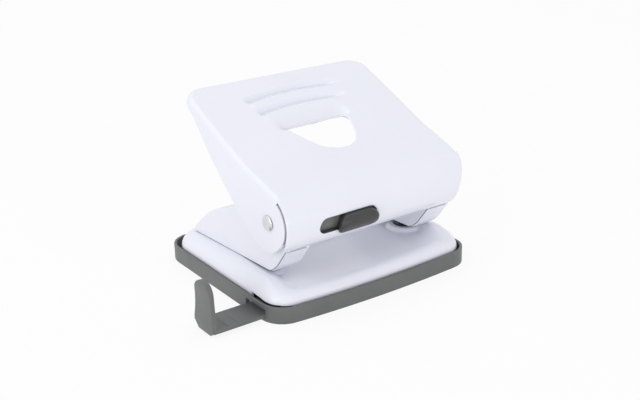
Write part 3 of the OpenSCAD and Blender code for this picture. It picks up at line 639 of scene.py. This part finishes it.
def skin_point(x, s, height=None):
    """Point of the skin at width x and length s, moved outward by its height."""
    u, v, nu, nv = path(s)
    height = lever_height(x, s) if height is None else height
    return lever_point(x, u + nu * height, v + nv * height)


def stretches(marks, step):
    """Ticks through all the marks, about one step apart."""
    pieces = [np.linspace(a, b, max(int(round((b - a) / step)), 1) + 1)[:-1]
              for a, b in zip(marks[:-1], marks[1:])]
    return np.concatenate(pieces + [marks[-1:]])


TINY, ROW_STEP, OPEN_STEP = 1e-6, 1.2, 1.1


def lever_skin():
    """Whole pressing as one sheet: rows run from the nose's lower edge over the top to the rear,
    columns run across; the folded sides and the rear lip follow the border of that field."""
    flat = LEVER_HALF - FOLD_R
    inner = REAR_R - FOLD_R
    s_apron, s_slit, mid = (float(s_of_angle(a)) for a in (APRON_A, SLIT_A, SLOT_LOCAL_A))
    hand_0, hand_1, rear_0 = (float(s_of_u(u)) for u in (16.0, 50.0, 52.0))

    # windows of the field that hold the two openings: x0, x1, s0, s1
    hand = (-23.0, 21.0, hand_0, hand_1)
    slot = (-36.5, 2.0, mid - 7.6, mid + 7.4)

    marks = [0.0, 0.25, 0.6, s_apron, slot[2], slot[3], s_slit, S_NOSE, hand_0, hand_1, rear_0]
    rows = stretches(sorted(marks), ROW_STEP)
    quarter = np.sin(np.linspace(0, math.pi / 2, 9))
    core = np.concatenate([
        -(CORNER_X + inner * quarter[::-1]), stretches([-CORNER_X, slot[0]], ROW_STEP)[1:],
        stretches([slot[0], hand[0]], OPEN_STEP)[1:],
        stretches([hand[0], slot[1], hand[1]], ROW_STEP)[1:],
        stretches([hand[1], CORNER_X], OPEN_STEP)[1:], CORNER_X + inner * quarter[1:]])
    corner = np.sqrt(np.maximum(inner ** 2 - np.maximum(np.abs(core) - CORNER_X, 0.0) ** 2, 0.0))
    rear_u = CORNER_U + corner
    share = np.linspace(0, 1, 61)[1:, None]
    s_grid = np.concatenate([np.repeat(rows[:, None], len(core), axis=1),
                             rear_0 + (s_of_u(rear_u)[None] - rear_0) * share])
    x_grid = np.repeat(core[None], len(s_grid), axis=0)

    skin = Skin()
    mid_x = (x_grid[:-1, :-1] + x_grid[1:, 1:]) / 2
    mid_s = (s_grid[:-1, :-1] + s_grid[1:, 1:]) / 2

    def inside(x0, x1, s0, s1):
        return (mid_x > x0) & (mid_x < x1) & (mid_s > s0) & (mid_s < s1)

    # the apron below the slit's foot is narrower than the band on the left
    keep = ~(inside(*hand) | inside(*slot))
    keep &= ~((mid_s < s_apron) & (mid_x < APRON_STEP - LEVER_HALF))
    skin.grid(skin_point(x_grid, s_grid), keep=keep)

    def border(x0, x1, s0, s1):
        xs = core[(core > x0 - TINY) & (core < x1 + TINY)]
        ss = rows[(rows > s0 - TINY) & (rows < s1 + TINY)]
        return np.concatenate([joined(xs, s0), joined(x1, ss)[1:], joined(xs[::-1], s1)[1:],
                               joined(x0, ss[::-1])[1:-1]])

    rim = [0, 0.12, 0.26, 0.42, 0.62, 0.9, 1.3, 1.8, 2.4, 3.1, 3.9, 4.8, 5.6, 6.4]
    for window, outline, reaches in ((hand, HAND_S, rim), (slot, SLOT, rim[:10])):
        ring = window_ring(border(*window), outline, reaches)
        skin.grid(skin_point(ring[..., 0], ring[..., 1]), flip=True, wrap=True)

    # band of the nose beyond the folds, straight out to the full width, with a rolled edge
    bands = {-1: rows[(rows >= s_apron - TINY) & (rows <= s_slit + TINY)],
             1: rows[rows <= s_slit + TINY]}
    edge_x = np.append(flat, LEVER_HALF - np.array([1.2, 0.35, 0.1, 0.0]))
    edge_height = np.array([0.0, 0.0, -0.02, -0.12, -0.35])
    for side in (-1, 1):
        across, down = np.meshgrid(side * edge_x, bands[side])
        edge = skin_point(across, down, np.broadcast_to(edge_height, across.shape))
        skin.grid(edge, flip=side < 0)

    # folds along the sides: arcs of FOLD_R, square to the profile
    border_s = s_grid[s_grid[:, 0] >= s_slit - TINY, 0]
    u, v, nu, nv = path(border_s)
    fold = np.radians(np.linspace(0, 90, 9))
    out, drop = FOLD_R * np.sin(fold), FOLD_R * (1 - np.cos(fold))
    for side in (-1, 1):
        skin.grid(lever_point(side * (flat + out)[None], u[:, None] - nu[:, None] * drop,
                              v[:, None] - nv[:, None] * drop), flip=side < 0)

    # the same fold round the rear, with its lip
    away = unit(joined(core - np.clip(core, -CORNER_X, CORNER_X), corner))
    lip_drop = np.concatenate([drop, np.linspace(FOLD_R, LIP, 5)[1:]])
    lip_out = np.concatenate([out, np.full(4, FOLD_R)])
    lip_out[-1] -= 0.15
    skin.grid(lever_point(core[:, None] + away[:, :1] * lip_out,
                          rear_u[:, None] + away[:, 1:] * lip_out, PANEL_V - lip_drop[None]),
              flip=True)

    # flat cheeks: from the foot of the fold, or the disc's rim, down to the lower outline
    top = joined(u - nu * FOLD_R, v - nv * FOLD_R)[::-1]
    upper = np.concatenate([top, arc_points(CHEEK_R, SLIT_A, 181.0, 34)[1:]])
    blade = [[73, PANEL_V - LIP], [70.9, 7.9], [66, 6.2], [59.1, 3.2], [48.5, -1.2], [38.3, -5],
             [28.6, -8.2], [23.3, -10.4], [13, -13.8], [6, -15.4], [0.5, -15.6], [-4.2, -14.2],
             [-7.6, -11.6]]
    lower = np.concatenate([blade, arc_points(CHEEK_R, 214.0, 181.0, 18)])
    lower = soften(lower, 2.0, len(upper), loop=False)
    lower[0], lower[-1] = blade[0], upper[-1]
    ease = np.array([0.0, 0.25, 0.5, 0.7, 0.85, 0.93, 0.97, 1.0])[:, None, None]
    plane = upper[None] + (lower - upper)[None] * ease
    for side in (-1, 1):
        skin.grid(lever_point(side * LEVER_HALF, plane[..., 0], plane[..., 1]), flip=side < 0)
    return skin


lever = lever_skin().piece("lever_shell", WHITE, thickness=SHEET, sharp=42.0)
dress(lever, "white_paint", "lever", "lever_handle")


# -------------------- pivot shaft

def pivot_skin():
    """Shaft with a domed head riveted over at each end: head profile half of an ellipse."""
    reach, head_r, head_h, rim = LEVER_HALF + 0.3, 3.6, 1.3, 0.3
    angle = np.radians(np.linspace(0, 90, 13))
    dome = joined(reach + rim + (head_h - rim) * np.sin(angle), head_r * np.cos(angle))
    shaft = [[0.0, SHAFT_R], [reach, SHAFT_R], [reach, head_r - 0.1], [reach + 0.1, head_r]]
    right = np.concatenate([shaft, dome])
    left = right[::-1] * [-1.0, 1.0]
    both = turned(np.concatenate([left, right[1:]]), 0.0, PIVOT_Y, PIVOT_Z)
    return Skin().solid((both, "wrap"))


pivot = pivot_skin().piece("pivot_rivet", POLISHED, sharp=50.0)
dress(pivot, "bare_steel", "lever", "pivot_shaft")


# -------------------- lock knob

def lock_point(x, out, z):
    """Lock's plane to the model: out is measured from the pivot, z square to it."""
    return joined(x, PIVOT_Y - out * math.cos(LOCK_A) - z * math.sin(LOCK_A),
                  PIVOT_Z - out * math.sin(LOCK_A) + z * math.cos(LOCK_A))


KNOB_X0, KNOB_X1, KNOB_Z0, KNOB_Z1, KNOB_LOW_R = -23.2, -2.0, -6.3, 3.5, 3.9
NECK_X0, NECK_X1, NECK_R = -22.0, -2.8, 3.6


def knob_skin():
    """Thumb knob: rings drawn in from a rounded outline to the middle line while they rise as a
    quarter ellipse, over a foot that follows the nose; below it the neck that runs in the slot."""
    half, mid = (KNOB_Z1 - KNOB_Z0) / 2.0, (KNOB_Z1 + KNOB_Z0) / 2.0
    low_z, left_x, right_x = KNOB_Z0 + KNOB_LOW_R, KNOB_X0 + half, KNOB_X1 - half
    loop = np.concatenate([
        arc_points(KNOB_LOW_R, 180, 270, 12, KNOB_X0 + KNOB_LOW_R, low_z),
        arc_points(KNOB_LOW_R, 270, 360, 12, KNOB_X1 - KNOB_LOW_R, low_z),
        arc_points(half, 0, 90, 12, right_x, mid), arc_points(half, 90, 180, 12, left_x, mid)])
    outline = soften(loop, 0.8, 120)
    spine = joined(np.clip(outline[:, 0], left_x, right_x), mid)
    angle = np.radians(np.linspace(0, 90, 11))
    inset = np.concatenate([[0.0, 0.0], 0.55 * (1 - np.cos(angle)), [0.75, 1.0]])
    rise = np.concatenate([[0.0, 0.3], 0.3 + 0.66 * np.sin(angle), [0.985, 1.0]])
    flat = outline[None] + (spine - outline)[None] * inset[:, None, None]
    foot = np.sqrt(KNOB_BASE_R ** 2 - outline[:, 1] ** 2)
    crown = KNOB_BASE_R + KNOB_RISE - 0.42 * (flat[..., 1] - 0.2) ** 2 / half
    top = lock_point(flat[..., 0], foot[None] + (crown - foot[None]) * rise[:, None], flat[..., 1])
    under = np.stack([outline, spine])
    base = lock_point(under[..., 0], np.sqrt(KNOB_BASE_R ** 2 - under[..., 1] ** 2), under[..., 1])
    skin = Skin().solid((top, "wrap"), (base, "wrap flip"))
    neck = np.concatenate([arc_points(NECK_R, -90, 90, 17, NECK_X1 - NECK_R),
                           arc_points(NECK_R, 90, 270, 17, NECK_X0 + NECK_R)])
    core = joined(np.clip(neck[:, 0], NECK_X0 + NECK_R, NECK_X1 - NECK_R), 0.0)
    rings = [lock_point(ring[:, 0], np.sqrt(radius ** 2 - ring[:, 1] ** 2), ring[:, 1])
             for radius, ring in ((SHIELD_R, core), (SHIELD_R, neck), (KNOB_BASE_R + 0.2, neck),
                                  (KNOB_BASE_R + 0.2, core))]
    return skin.solid((np.stack(rings), "wrap"))


dress(knob_skin().piece("lock_knob", KNOB_GREY, sharp=60.0), "grey_plastic", "lock", "lock_slider")


def dark_slot_band_skin():
    """Thin dark grey band inside the lock slot, darkening the slot's edge: a closed band along the
    slot's outline, its section given as insets from the outline and heights over the lever's face."""
    section = ((0.02, -0.35), (0.02, -1.62), (0.32, -1.62), (0.32, -0.5), (0.2, -0.35),
               (0.02, -0.35))
    normal = outward(SLOT)
    rings = [skin_point(*(SLOT - normal * inset).T, height) for inset, height in section]
    return Skin().solid((np.stack(rings), "wrap"))


# dark grey band that darkens the rim of the lock slot
dress(dark_slot_band_skin().piece("dark_slot_band", KNOB_GREY, sharp=50.0), "grey_plastic", "lever")


# -------------------- base plate

CORNER_STEPS, FRONT_STEPS = 12, 96
SIDE_TICKS = np.concatenate([np.linspace(-36.4, -8.0, 30), np.linspace(-7.0, -3.6, 12),
                             np.linspace(-2.5, 32.0, 32)])


def base_ring(share):
    """Outline of the base at a share of the shoulder, 0 at the skirt and 1 at the plateau: left
    front corner, bowed front, right front corner, right side, rear corners and rear, left side."""
    half = SKIRT_X - SHOULDER_X * share
    front, rear = -SKIRT_Y + SHOULDER_Y * share, SKIRT_REAR - SHOULDER_Y * share
    less = (SHOULDER_X + SHOULDER_Y) / 2 * share
    r, rear_r = SKIRT_R - less, REAR_SKIRT_R - less
    t = np.linspace(-1, 1, FRONT_STEPS + 1)[1:-1]
    steps = CORNER_STEPS + 1
    return np.concatenate([
        arc_points(r, 180, 270, steps, -half + r, front + r),
        joined((half - r) * t, front - BOW * (1 - t ** 2)),
        arc_points(r, 270, 360, steps, half - r, front + r),
        joined(half, SIDE_TICKS),
        arc_points(rear_r, 0, 90, steps, half - rear_r, rear - rear_r),
        joined((half - rear_r) * t[::-1], rear),
        arc_points(rear_r, 90, 180, steps, -half + rear_r, rear - rear_r),
        joined(-half, SIDE_TICKS[::-1])])


def plateau_z(x, y):
    """Height of the plateau: table, step up to the paper stop, slow fall to the back. The step is
    sharp between the brackets. On the shoulders outside them it lies further to the front, and is
    drawn out into a slope."""
    side = soft_step((np.abs(x) - HOLE_X) / SLOPE_BLEND)
    rear = STOP_Z - np.maximum(y - STOP_Y, 0.0) * math.tan(RAMP) - 0.04
    step, slope = soft_step((y - STEP_Y) / STEP_RUN), soft_step((y - SLOPE_Y) / SLOPE_RUN)
    return TABLE_Z + (rear - TABLE_Z) * (step + (slope - step) * side)


def skirt_foot(ring):
    """Lower edge of the skirt: level, but cut up in a long wedge over the paper guide. The wedge
    is highest at its rear end and runs down to the tray's rim round the left front corner."""
    order = np.arange(len(ring))
    x, y = ring.T
    corner = order <= CORNER_STEPS
    left_side = (order > (len(ring) - 1) // 2) & (x < -SKIRT_X + 0.01)
    turn = np.degrees(np.arctan2(-(y + SKIRT_Y - SKIRT_R), -(x + SKIRT_X - SKIRT_R)))
    round_corner = -NOTCH_Y - y[-1] + SKIRT_R * np.radians(np.clip(turn, 0, 90))
    run = np.where(corner, round_corner, -NOTCH_Y - y)
    in_wedge = (corner | left_side) & (run >= 0) & (run < NOTCH_L)
    return np.where(in_wedge, NOTCH_Z - NOTCH_FALL * run / NOTCH_L, FOOT_Z)


def base_skin():
    """Skirt and shoulder as rings, the shoulder a quarter ellipse from the skirt up to the
    plateau; then the plateau as lines across; then the ring round each die."""
    angle = np.radians(np.linspace(0, 90, 25))
    share = np.concatenate([np.zeros(4), 1 - np.cos(angle)])
    level = np.concatenate([[FOOT_Z, 4.2, 5.8, 7.0], np.full(25, SKIRT_TOP)])
    lift = np.concatenate([np.zeros(4), np.sin(angle)])
    rings = []
    for s, z, up in zip(share, level, lift):
        ring = base_ring(s)
        rings.append(np.column_stack([ring, z + (plateau_z(*ring.T) - SKIRT_TOP) * up]))
    field = np.array(rings)
    border = field[-1].copy()

    # rows below the wedge's edge are dropped, and the last of them is moved onto the edge
    foot = skirt_foot(field[0, :, :2])
    first = (field[..., 2] > foot[None] + 0.12).argmax(axis=0)
    columns = np.arange(field.shape[1])
    below = np.maximum(first - 1, 0)
    a, b = field[below, columns], field[first, columns]
    part = clamp((foot - a[:, 2]) / np.maximum(b[:, 2] - a[:, 2], TINY))[:, None]
    rows = np.arange(len(field))[:, None]
    field = np.where((rows <= below[None])[..., None], (a + (b - a) * part)[None], field)
    keep = rows[:-1] >= np.minimum(below, np.roll(below, -1))[None]
    skin = Skin().grid(field, wrap=True, keep=keep)

    # plateau: straight lines from its left border to its right border, bowed near the front
    n, m, k = CORNER_STEPS + 1, FRONT_STEPS, len(SIDE_TICKS)
    cuts = np.cumsum([n, m - 1, n, k, n, m - 1, n])
    (front_left, front, front_right, right, rear_right, rear, rear_left,
     left) = np.split(border, cuts)
    near = np.concatenate([front_left[-1:], front, front_right[:1]])
    far = np.concatenate([rear_left[:1], rear[::-1], rear_right[-1:]])
    lefts = np.concatenate([front_left[::-1], left[::-1], rear_left[::-1]])
    rights = np.concatenate([front_right, right, rear_right])
    across = np.linspace(0, 1, m + 1)[None, :, None]
    patch = lefts[:, None] * (1 - across) + rights[:, None] * across
    depth = patch[..., 1] - near[0][1]
    patch[..., 1] += (near[None, :, 1] - near[0][1]) * clamp(1 - depth / BOW_DEPTH)
    x, y = patch[..., 0], patch[..., 1]
    middle = np.hypot(np.abs(x) - HOLE_X, y - HOLE_Y)
    patch[..., 2] = plateau_z(x, y) - DISH_H * soft_step((DISH_R - middle) / 1.5)
    patch[0], patch[-1], patch[:, 0], patch[:, -1] = near, far, lefts, rights
    skin.grid(patch)

    # raised ring round each die, out of the table or the shoulder, whichever is higher
    r = np.concatenate([[DIE_R, DIE_R + 0.1, DIE_R + 0.33], np.linspace(6.2, BOSS_R, 22)])
    turn = np.radians(np.linspace(0, 360, 96, endpoint=False))
    rr, aa = np.meshgrid(r, turn, indexing="ij")
    rim = clamp((DIE_R + DIE_EDGE - rr) / DIE_EDGE) ** 2
    raised = BOSS_H * soft_step((RING_R - rr) / 2.0) - 0.25 * rim
    for side in (-1, 1):
        x, y = side * HOLE_X + rr * np.cos(aa), HOLE_Y + rr * np.sin(aa)
        over = clamp((np.abs(x) - SKIRT_X + SHOULDER_X) / SHOULDER_X)
        fall = np.sqrt(1 - over ** 2)
        shoulder = SKIRT_TOP + (plateau_z(x, y) - SKIRT_TOP) * fall + 0.03
        boss = SKIRT_TOP + (TABLE_Z - SKIRT_TOP) * fall + raised
        skin.grid(joined(x, y, np.maximum(shoulder, boss)), flip=True, wrap=True)
    return skin


base = base_skin().piece("base_shell", WHITE, thickness=BASE_SHEET, sharp=50.0, even=False)
dress(base, "white_paint", "frame", "base_plate")


def hinge_skin():
    """Rolled barrels of the base at the hinge, each on a short tongue from the base's rear."""
    skin = Skin()
    bore, ease = 1.22, 0.3
    section = [[0, bore], [0, BARREL_R - ease], [ease, BARREL_R], [BARREL_L - ease, BARREL_R],
               [BARREL_L, BARREL_R - ease], [BARREL_L, bore], [0, bore]]
    for x in (-HINGE_X - 9.8, -HINGE_X + 3.8, HINGE_X - 9.8, HINGE_X + 3.8):
        skin.solid((turned(section, x, HINGE_Y, HINGE_Z, 40), "wrap"))
        tongue = resample([[41.5, 11.4], [43.6, 10.2], [44.9, 8.8], [46.4, 8.3]], 14)
        across = np.linspace(x + 0.2, x + BARREL_L - 0.2, 5)
        top = joined(across[None], tongue[:, :1], tongue[:, 1:])
        skin.slab(top, top - [0.0, 0.0, 1.1])
    return skin


dress(hinge_skin().piece("base_barrels", WHITE, sharp=45.0), "white_paint", "frame")


# -------------------- punch brackets

def ramp_z(y):
    """Height of the base under the bracket's foot."""
    return STOP_Z - (y - STOP_Y) * math.tan(RAMP)


def nose_stop(radius):
    """Point just below the nose's lower edge at rest."""
    angle = math.radians(EDGE_A + 3.2) + SLOPE
    return [PIVOT_Y + radius * math.cos(angle), PIVOT_Z + radius * math.sin(angle)]


# Lines in (y, z): back edge and front edge, the front cut back a little at its top. The left plate
# is set back from the front by the seam
HEEL_Y, TOE_Y = 37.4, -29.0
BACK = np.array([[-20, 47.3], [-9, 43.6], [-2, 39.9], [7.1, 36.6], [17.4, 32.1], [25.4, 26.9],
                 [31.7, 21.6], [36.6, 17.4]])
FRONT = np.array([[-31.5, ramp_z(TOE_Y) + 0.6], [-33.2, ramp_z(TOE_Y) + 1.7], [-35.9, 22.0],
                  nose_stop(NOSE_R)])
FRONT[-1] += [0.78, -1.05]
SEAM = np.array([0.60, 0.42])


def bracket_outline(front):
    """Side outline in (y, z), anticlockwise seen from the left: foot, front, ear and back edge."""
    ear = arc_points(EAR_R, 180, 60, 25, PIVOT_Y, PIVOT_Z)
    foot = [[y, ramp_z(y) + FOOT_GAP] for y in (HEEL_Y - 3.2, TOE_Y)]
    shoulder = [nose_stop(NOSE_R - SHEET - 0.5), [PIVOT_Y - EAR_R, PIVOT_Z - 6.5]]
    heel = [[HEEL_Y, ramp_z(HEEL_Y) + FOOT_GAP]]
    loop = np.concatenate([foot, front, shoulder, ear, BACK, heel])
    return soften(loop[::-1], 0.9, 280)


def bracket_skin(side):
    """Two side plates with the front flange and the rear web bent between them, the web that
    guides the punch, and the foot on the sloping base."""
    skin = Skin()

    def upright(a, b, c):
        return joined(side * c, a, b)

    def level(a, b, c):
        return joined(side * a, b, c)

    def sloping(a, b, c):
        return joined(side * a, STOP_Y + b * math.cos(RAMP) + c * math.sin(RAMP),
                      STOP_Z - b * math.sin(RAMP) + c * math.cos(RAMP))

    def pierced(outline, middle, radius, low, ease, place):
        """Plate with a round hole of the given middle and radius."""
        hole = middle + unit(outline - middle) * radius
        skin.plate(outline, hole, low, low + PLATE_T, ease, place)

    # the flange is bent from the right plate, and meets the left one, set back, at a seam
    left_plate = PLATE_OUT - PLATE_T if side < 0 else PLATE_IN
    for low in (PLATE_IN, PLATE_OUT - PLATE_T):
        outline = bracket_outline(FRONT + SEAM if low == left_plate else FRONT)
        pierced(outline, np.array([PIVOT_Y, PIVOT_Z]), SHAFT_R + SHAFT_GAP, low, 0.35, upright)

    def strip(line, x0, x1, mitre=(0.0, 0.0)):
        """Sheet along X over a line in (y, z), its thickness to the right of the line's
        direction; its ends may be cut back towards the inner face."""
        y_step, z_step = np.gradient(line, axis=0).T
        inward = unit(joined(z_step, -y_step))
        faces = []
        for flat, cut in ((line, (0.0, 0.0)), (line + inward * PLATE_T, mitre)):
            across = np.linspace(x0 + cut[0], x1 - cut[1], 9)
            faces.append(joined(side * across[None], flat[:, :1], flat[:, 1:]))
        skin.slab(*faces)

    inside_l, inside_r = PLATE_IN + PLATE_T - 0.3, PLATE_OUT - PLATE_T
    flange = soften(FRONT, 1.2, 40, loop=False)
    if side < 0:
        strip(flange, inside_l, PLATE_OUT - 0.05, (0.0, PLATE_T))
    else:
        strip(flange, PLATE_IN + 0.05, inside_r + 0.3, (PLATE_T, 0.0))
    strip(soften(BACK[2:], 2.0, 40, loop=False), inside_l, inside_r)

    # web: first and last y, hole's y and radius, height; then the foot, by its run down the slope
    for y0, y1, hole_y, radius, low, place in ((-31.0, STOP_Y, HOLE_Y, BUSH_R, WEB_Z, level),
                                               (3.0, 39.0, 10.0, RIVET_R, 0.1, sloping)):
        corners = [[inside_l, y0], [inside_r, y0], [inside_r, y1], [inside_l, y1]]
        pierced(looped(np.array(corners), 120), np.array([HOLE_X, hole_y]), radius, low, 0.2, place)
    return skin


for side, word in ((-1, "left"), (1, "right")):
    bracket = bracket_skin(side).piece(word + "_bracket_shell", WHITE, sharp=35.0)
    dress(bracket, "white_paint", "frame", word + "_bracket")


# -------------------- tray, guide and kept nodes

dress(softened("chip_tray", "tray_shell", GREY, 0.45), "grey_plastic", "tray", "chip_tray")
dress(softened("paper_guide", "guide_shell", GREY, 0.5), "grey_plastic", "guide", "paper_guide")


def coil(side):
    """Copy of a return spring, on the frame, its foot on the web."""
    node = side + "_return_spring"
    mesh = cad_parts[node].data.copy()
    mesh.materials.clear()
    mesh.materials.append(STEEL)
    piece = placed(side + "_coil", mesh)
    places = np.empty(3 * len(mesh.vertices))
    mesh.vertices.foreach_get("co", places)
    dress(piece, "bare_steel", "frame", node)
    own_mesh(piece)


coil("left")
coil("right")

FINISH = {
    RUBBER: ["nonslip_pads"],
    GREY: ["lock_plate"],
    STEEL: ["hinge_pins", "bracket_rivets", "pivot_washers", "pusher_bar",
            "left_spring_seat", "right_spring_seat"],
    TOOL: ["left_die_bush", "right_die_bush", "left_punch_pin", "right_punch_pin",
           "left_circlip", "right_circlip"],
    BRASS: ["left_guide_bush", "right_guide_bush"],
}
for finish, names in FINISH.items():
    for node_name in names:
        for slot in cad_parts[node_name].material_slots:
            slot.material = finish


# -------------------- floor, light, camera

def studio():
    """White paper under the punch, an even white room, and three soft lamps. Seen straight on, the
    paper is lightened to the white of the room, and keeps a part of the shadow."""
    mesh = bpy.data.meshes.new("floor")
    mesh.from_pydata([(x * FLOOR_HALF, y * FLOOR_HALF, FLOOR_Z)
                      for x, y in ((-1, -1), (1, -1), (1, 1), (-1, 1))], [], [(0, 1, 2, 3)])
    paper = Finish("white_paper")
    tint = paper.ramp(paper.noise(6.0), (0.93, 0.93, 0.93), (0.95, 0.95, 0.95))
    mesh.materials.append(paper.done(Base_Color=tint, Roughness=0.9, Specular_IOR_Level=0.1))
    glow = paper.add("Emission", Strength=1.0).outputs["Emission"]
    share = paper.span(paper.straight_rays(), 0.0, FLOOR_GLOW)
    out = next(n for n in paper.nodes if n.type == "OUTPUT_MATERIAL")
    paper.fill(out, Surface=paper.mixed(share, paper.shader.outputs["BSDF"], glow))
    placed("floor", mesh)

    world = bpy.data.worlds.new("studio")
    bpy.context.scene.world = world
    world.use_nodes = True
    room = Graph(world.node_tree)
    room.nodes.clear()
    lit, seen = (room.add("Background", Color=(1.0, 1.0, 1.0, 1.0), Strength=power)
                 .outputs["Background"] for power in (ROOM_LIGHT, 1.0))
    room.add("OutputWorld", Surface=room.mixed(room.straight_rays(), lit, seen))

    def lamp(name, place, aim, size, power):
        data = bpy.data.lights.new(name, "AREA")
        data.shape = "RECTANGLE"
        data.size, data.size_y = size
        data.energy = power
        obj = placed(name, data)
        obj.location = place
        obj.visible_camera = False
        obj.rotation_euler = (Vector(aim) - Vector(place)).to_track_quat("-Z", "Y").to_euler()

    lamp("top_bank", (-0.1, 0.35, 1.1), (0, 0.02, 0.03), (1.1, 0.9), TOP_POWER)
    lamp("left_bank", (-1.0, -0.25, 0.55), (0, 0, 0.04), (0.7, 0.9), LEFT_POWER)
    lamp("front_bank", (-0.15, -1.0, 0.17), (0, 0, 0.035), (1.4, 0.3), FRONT_POWER)


def camera():
    """Camera of the photograph: place, direction and roll solved from the object's own corners."""
    azimuth, elevation, roll = map(math.radians, CAMERA_TURN)
    away = np.array([-math.sin(azimuth) * math.cos(elevation),
                     -math.cos(azimuth) * math.cos(elevation), math.sin(elevation)])
    right = np.array([math.cos(azimuth), -math.sin(azimuth), 0.0])
    up = np.cross(away, right)
    x_axis = right * math.cos(roll) + up * math.sin(roll)
    y_axis = -right * math.sin(roll) + up * math.cos(roll)
    turn = Matrix(joined(x_axis, y_axis, away).tolist())
    data = bpy.data.cameras.new("camera")
    data.sensor_width = SENSOR
    data.sensor_fit = "HORIZONTAL"
    data.lens = FOCAL_PX / IMAGE_PX * SENSOR
    data.clip_start, data.clip_end = 0.01, 20.0
    obj = placed("camera", data)
    obj.matrix_world = Matrix.Translation(CAMERA_AT) @ turn.to_4x4()
    bpy.context.scene.camera = obj


studio()
camera()
bpy.context.scene.view_settings.view_transform = "Standard"
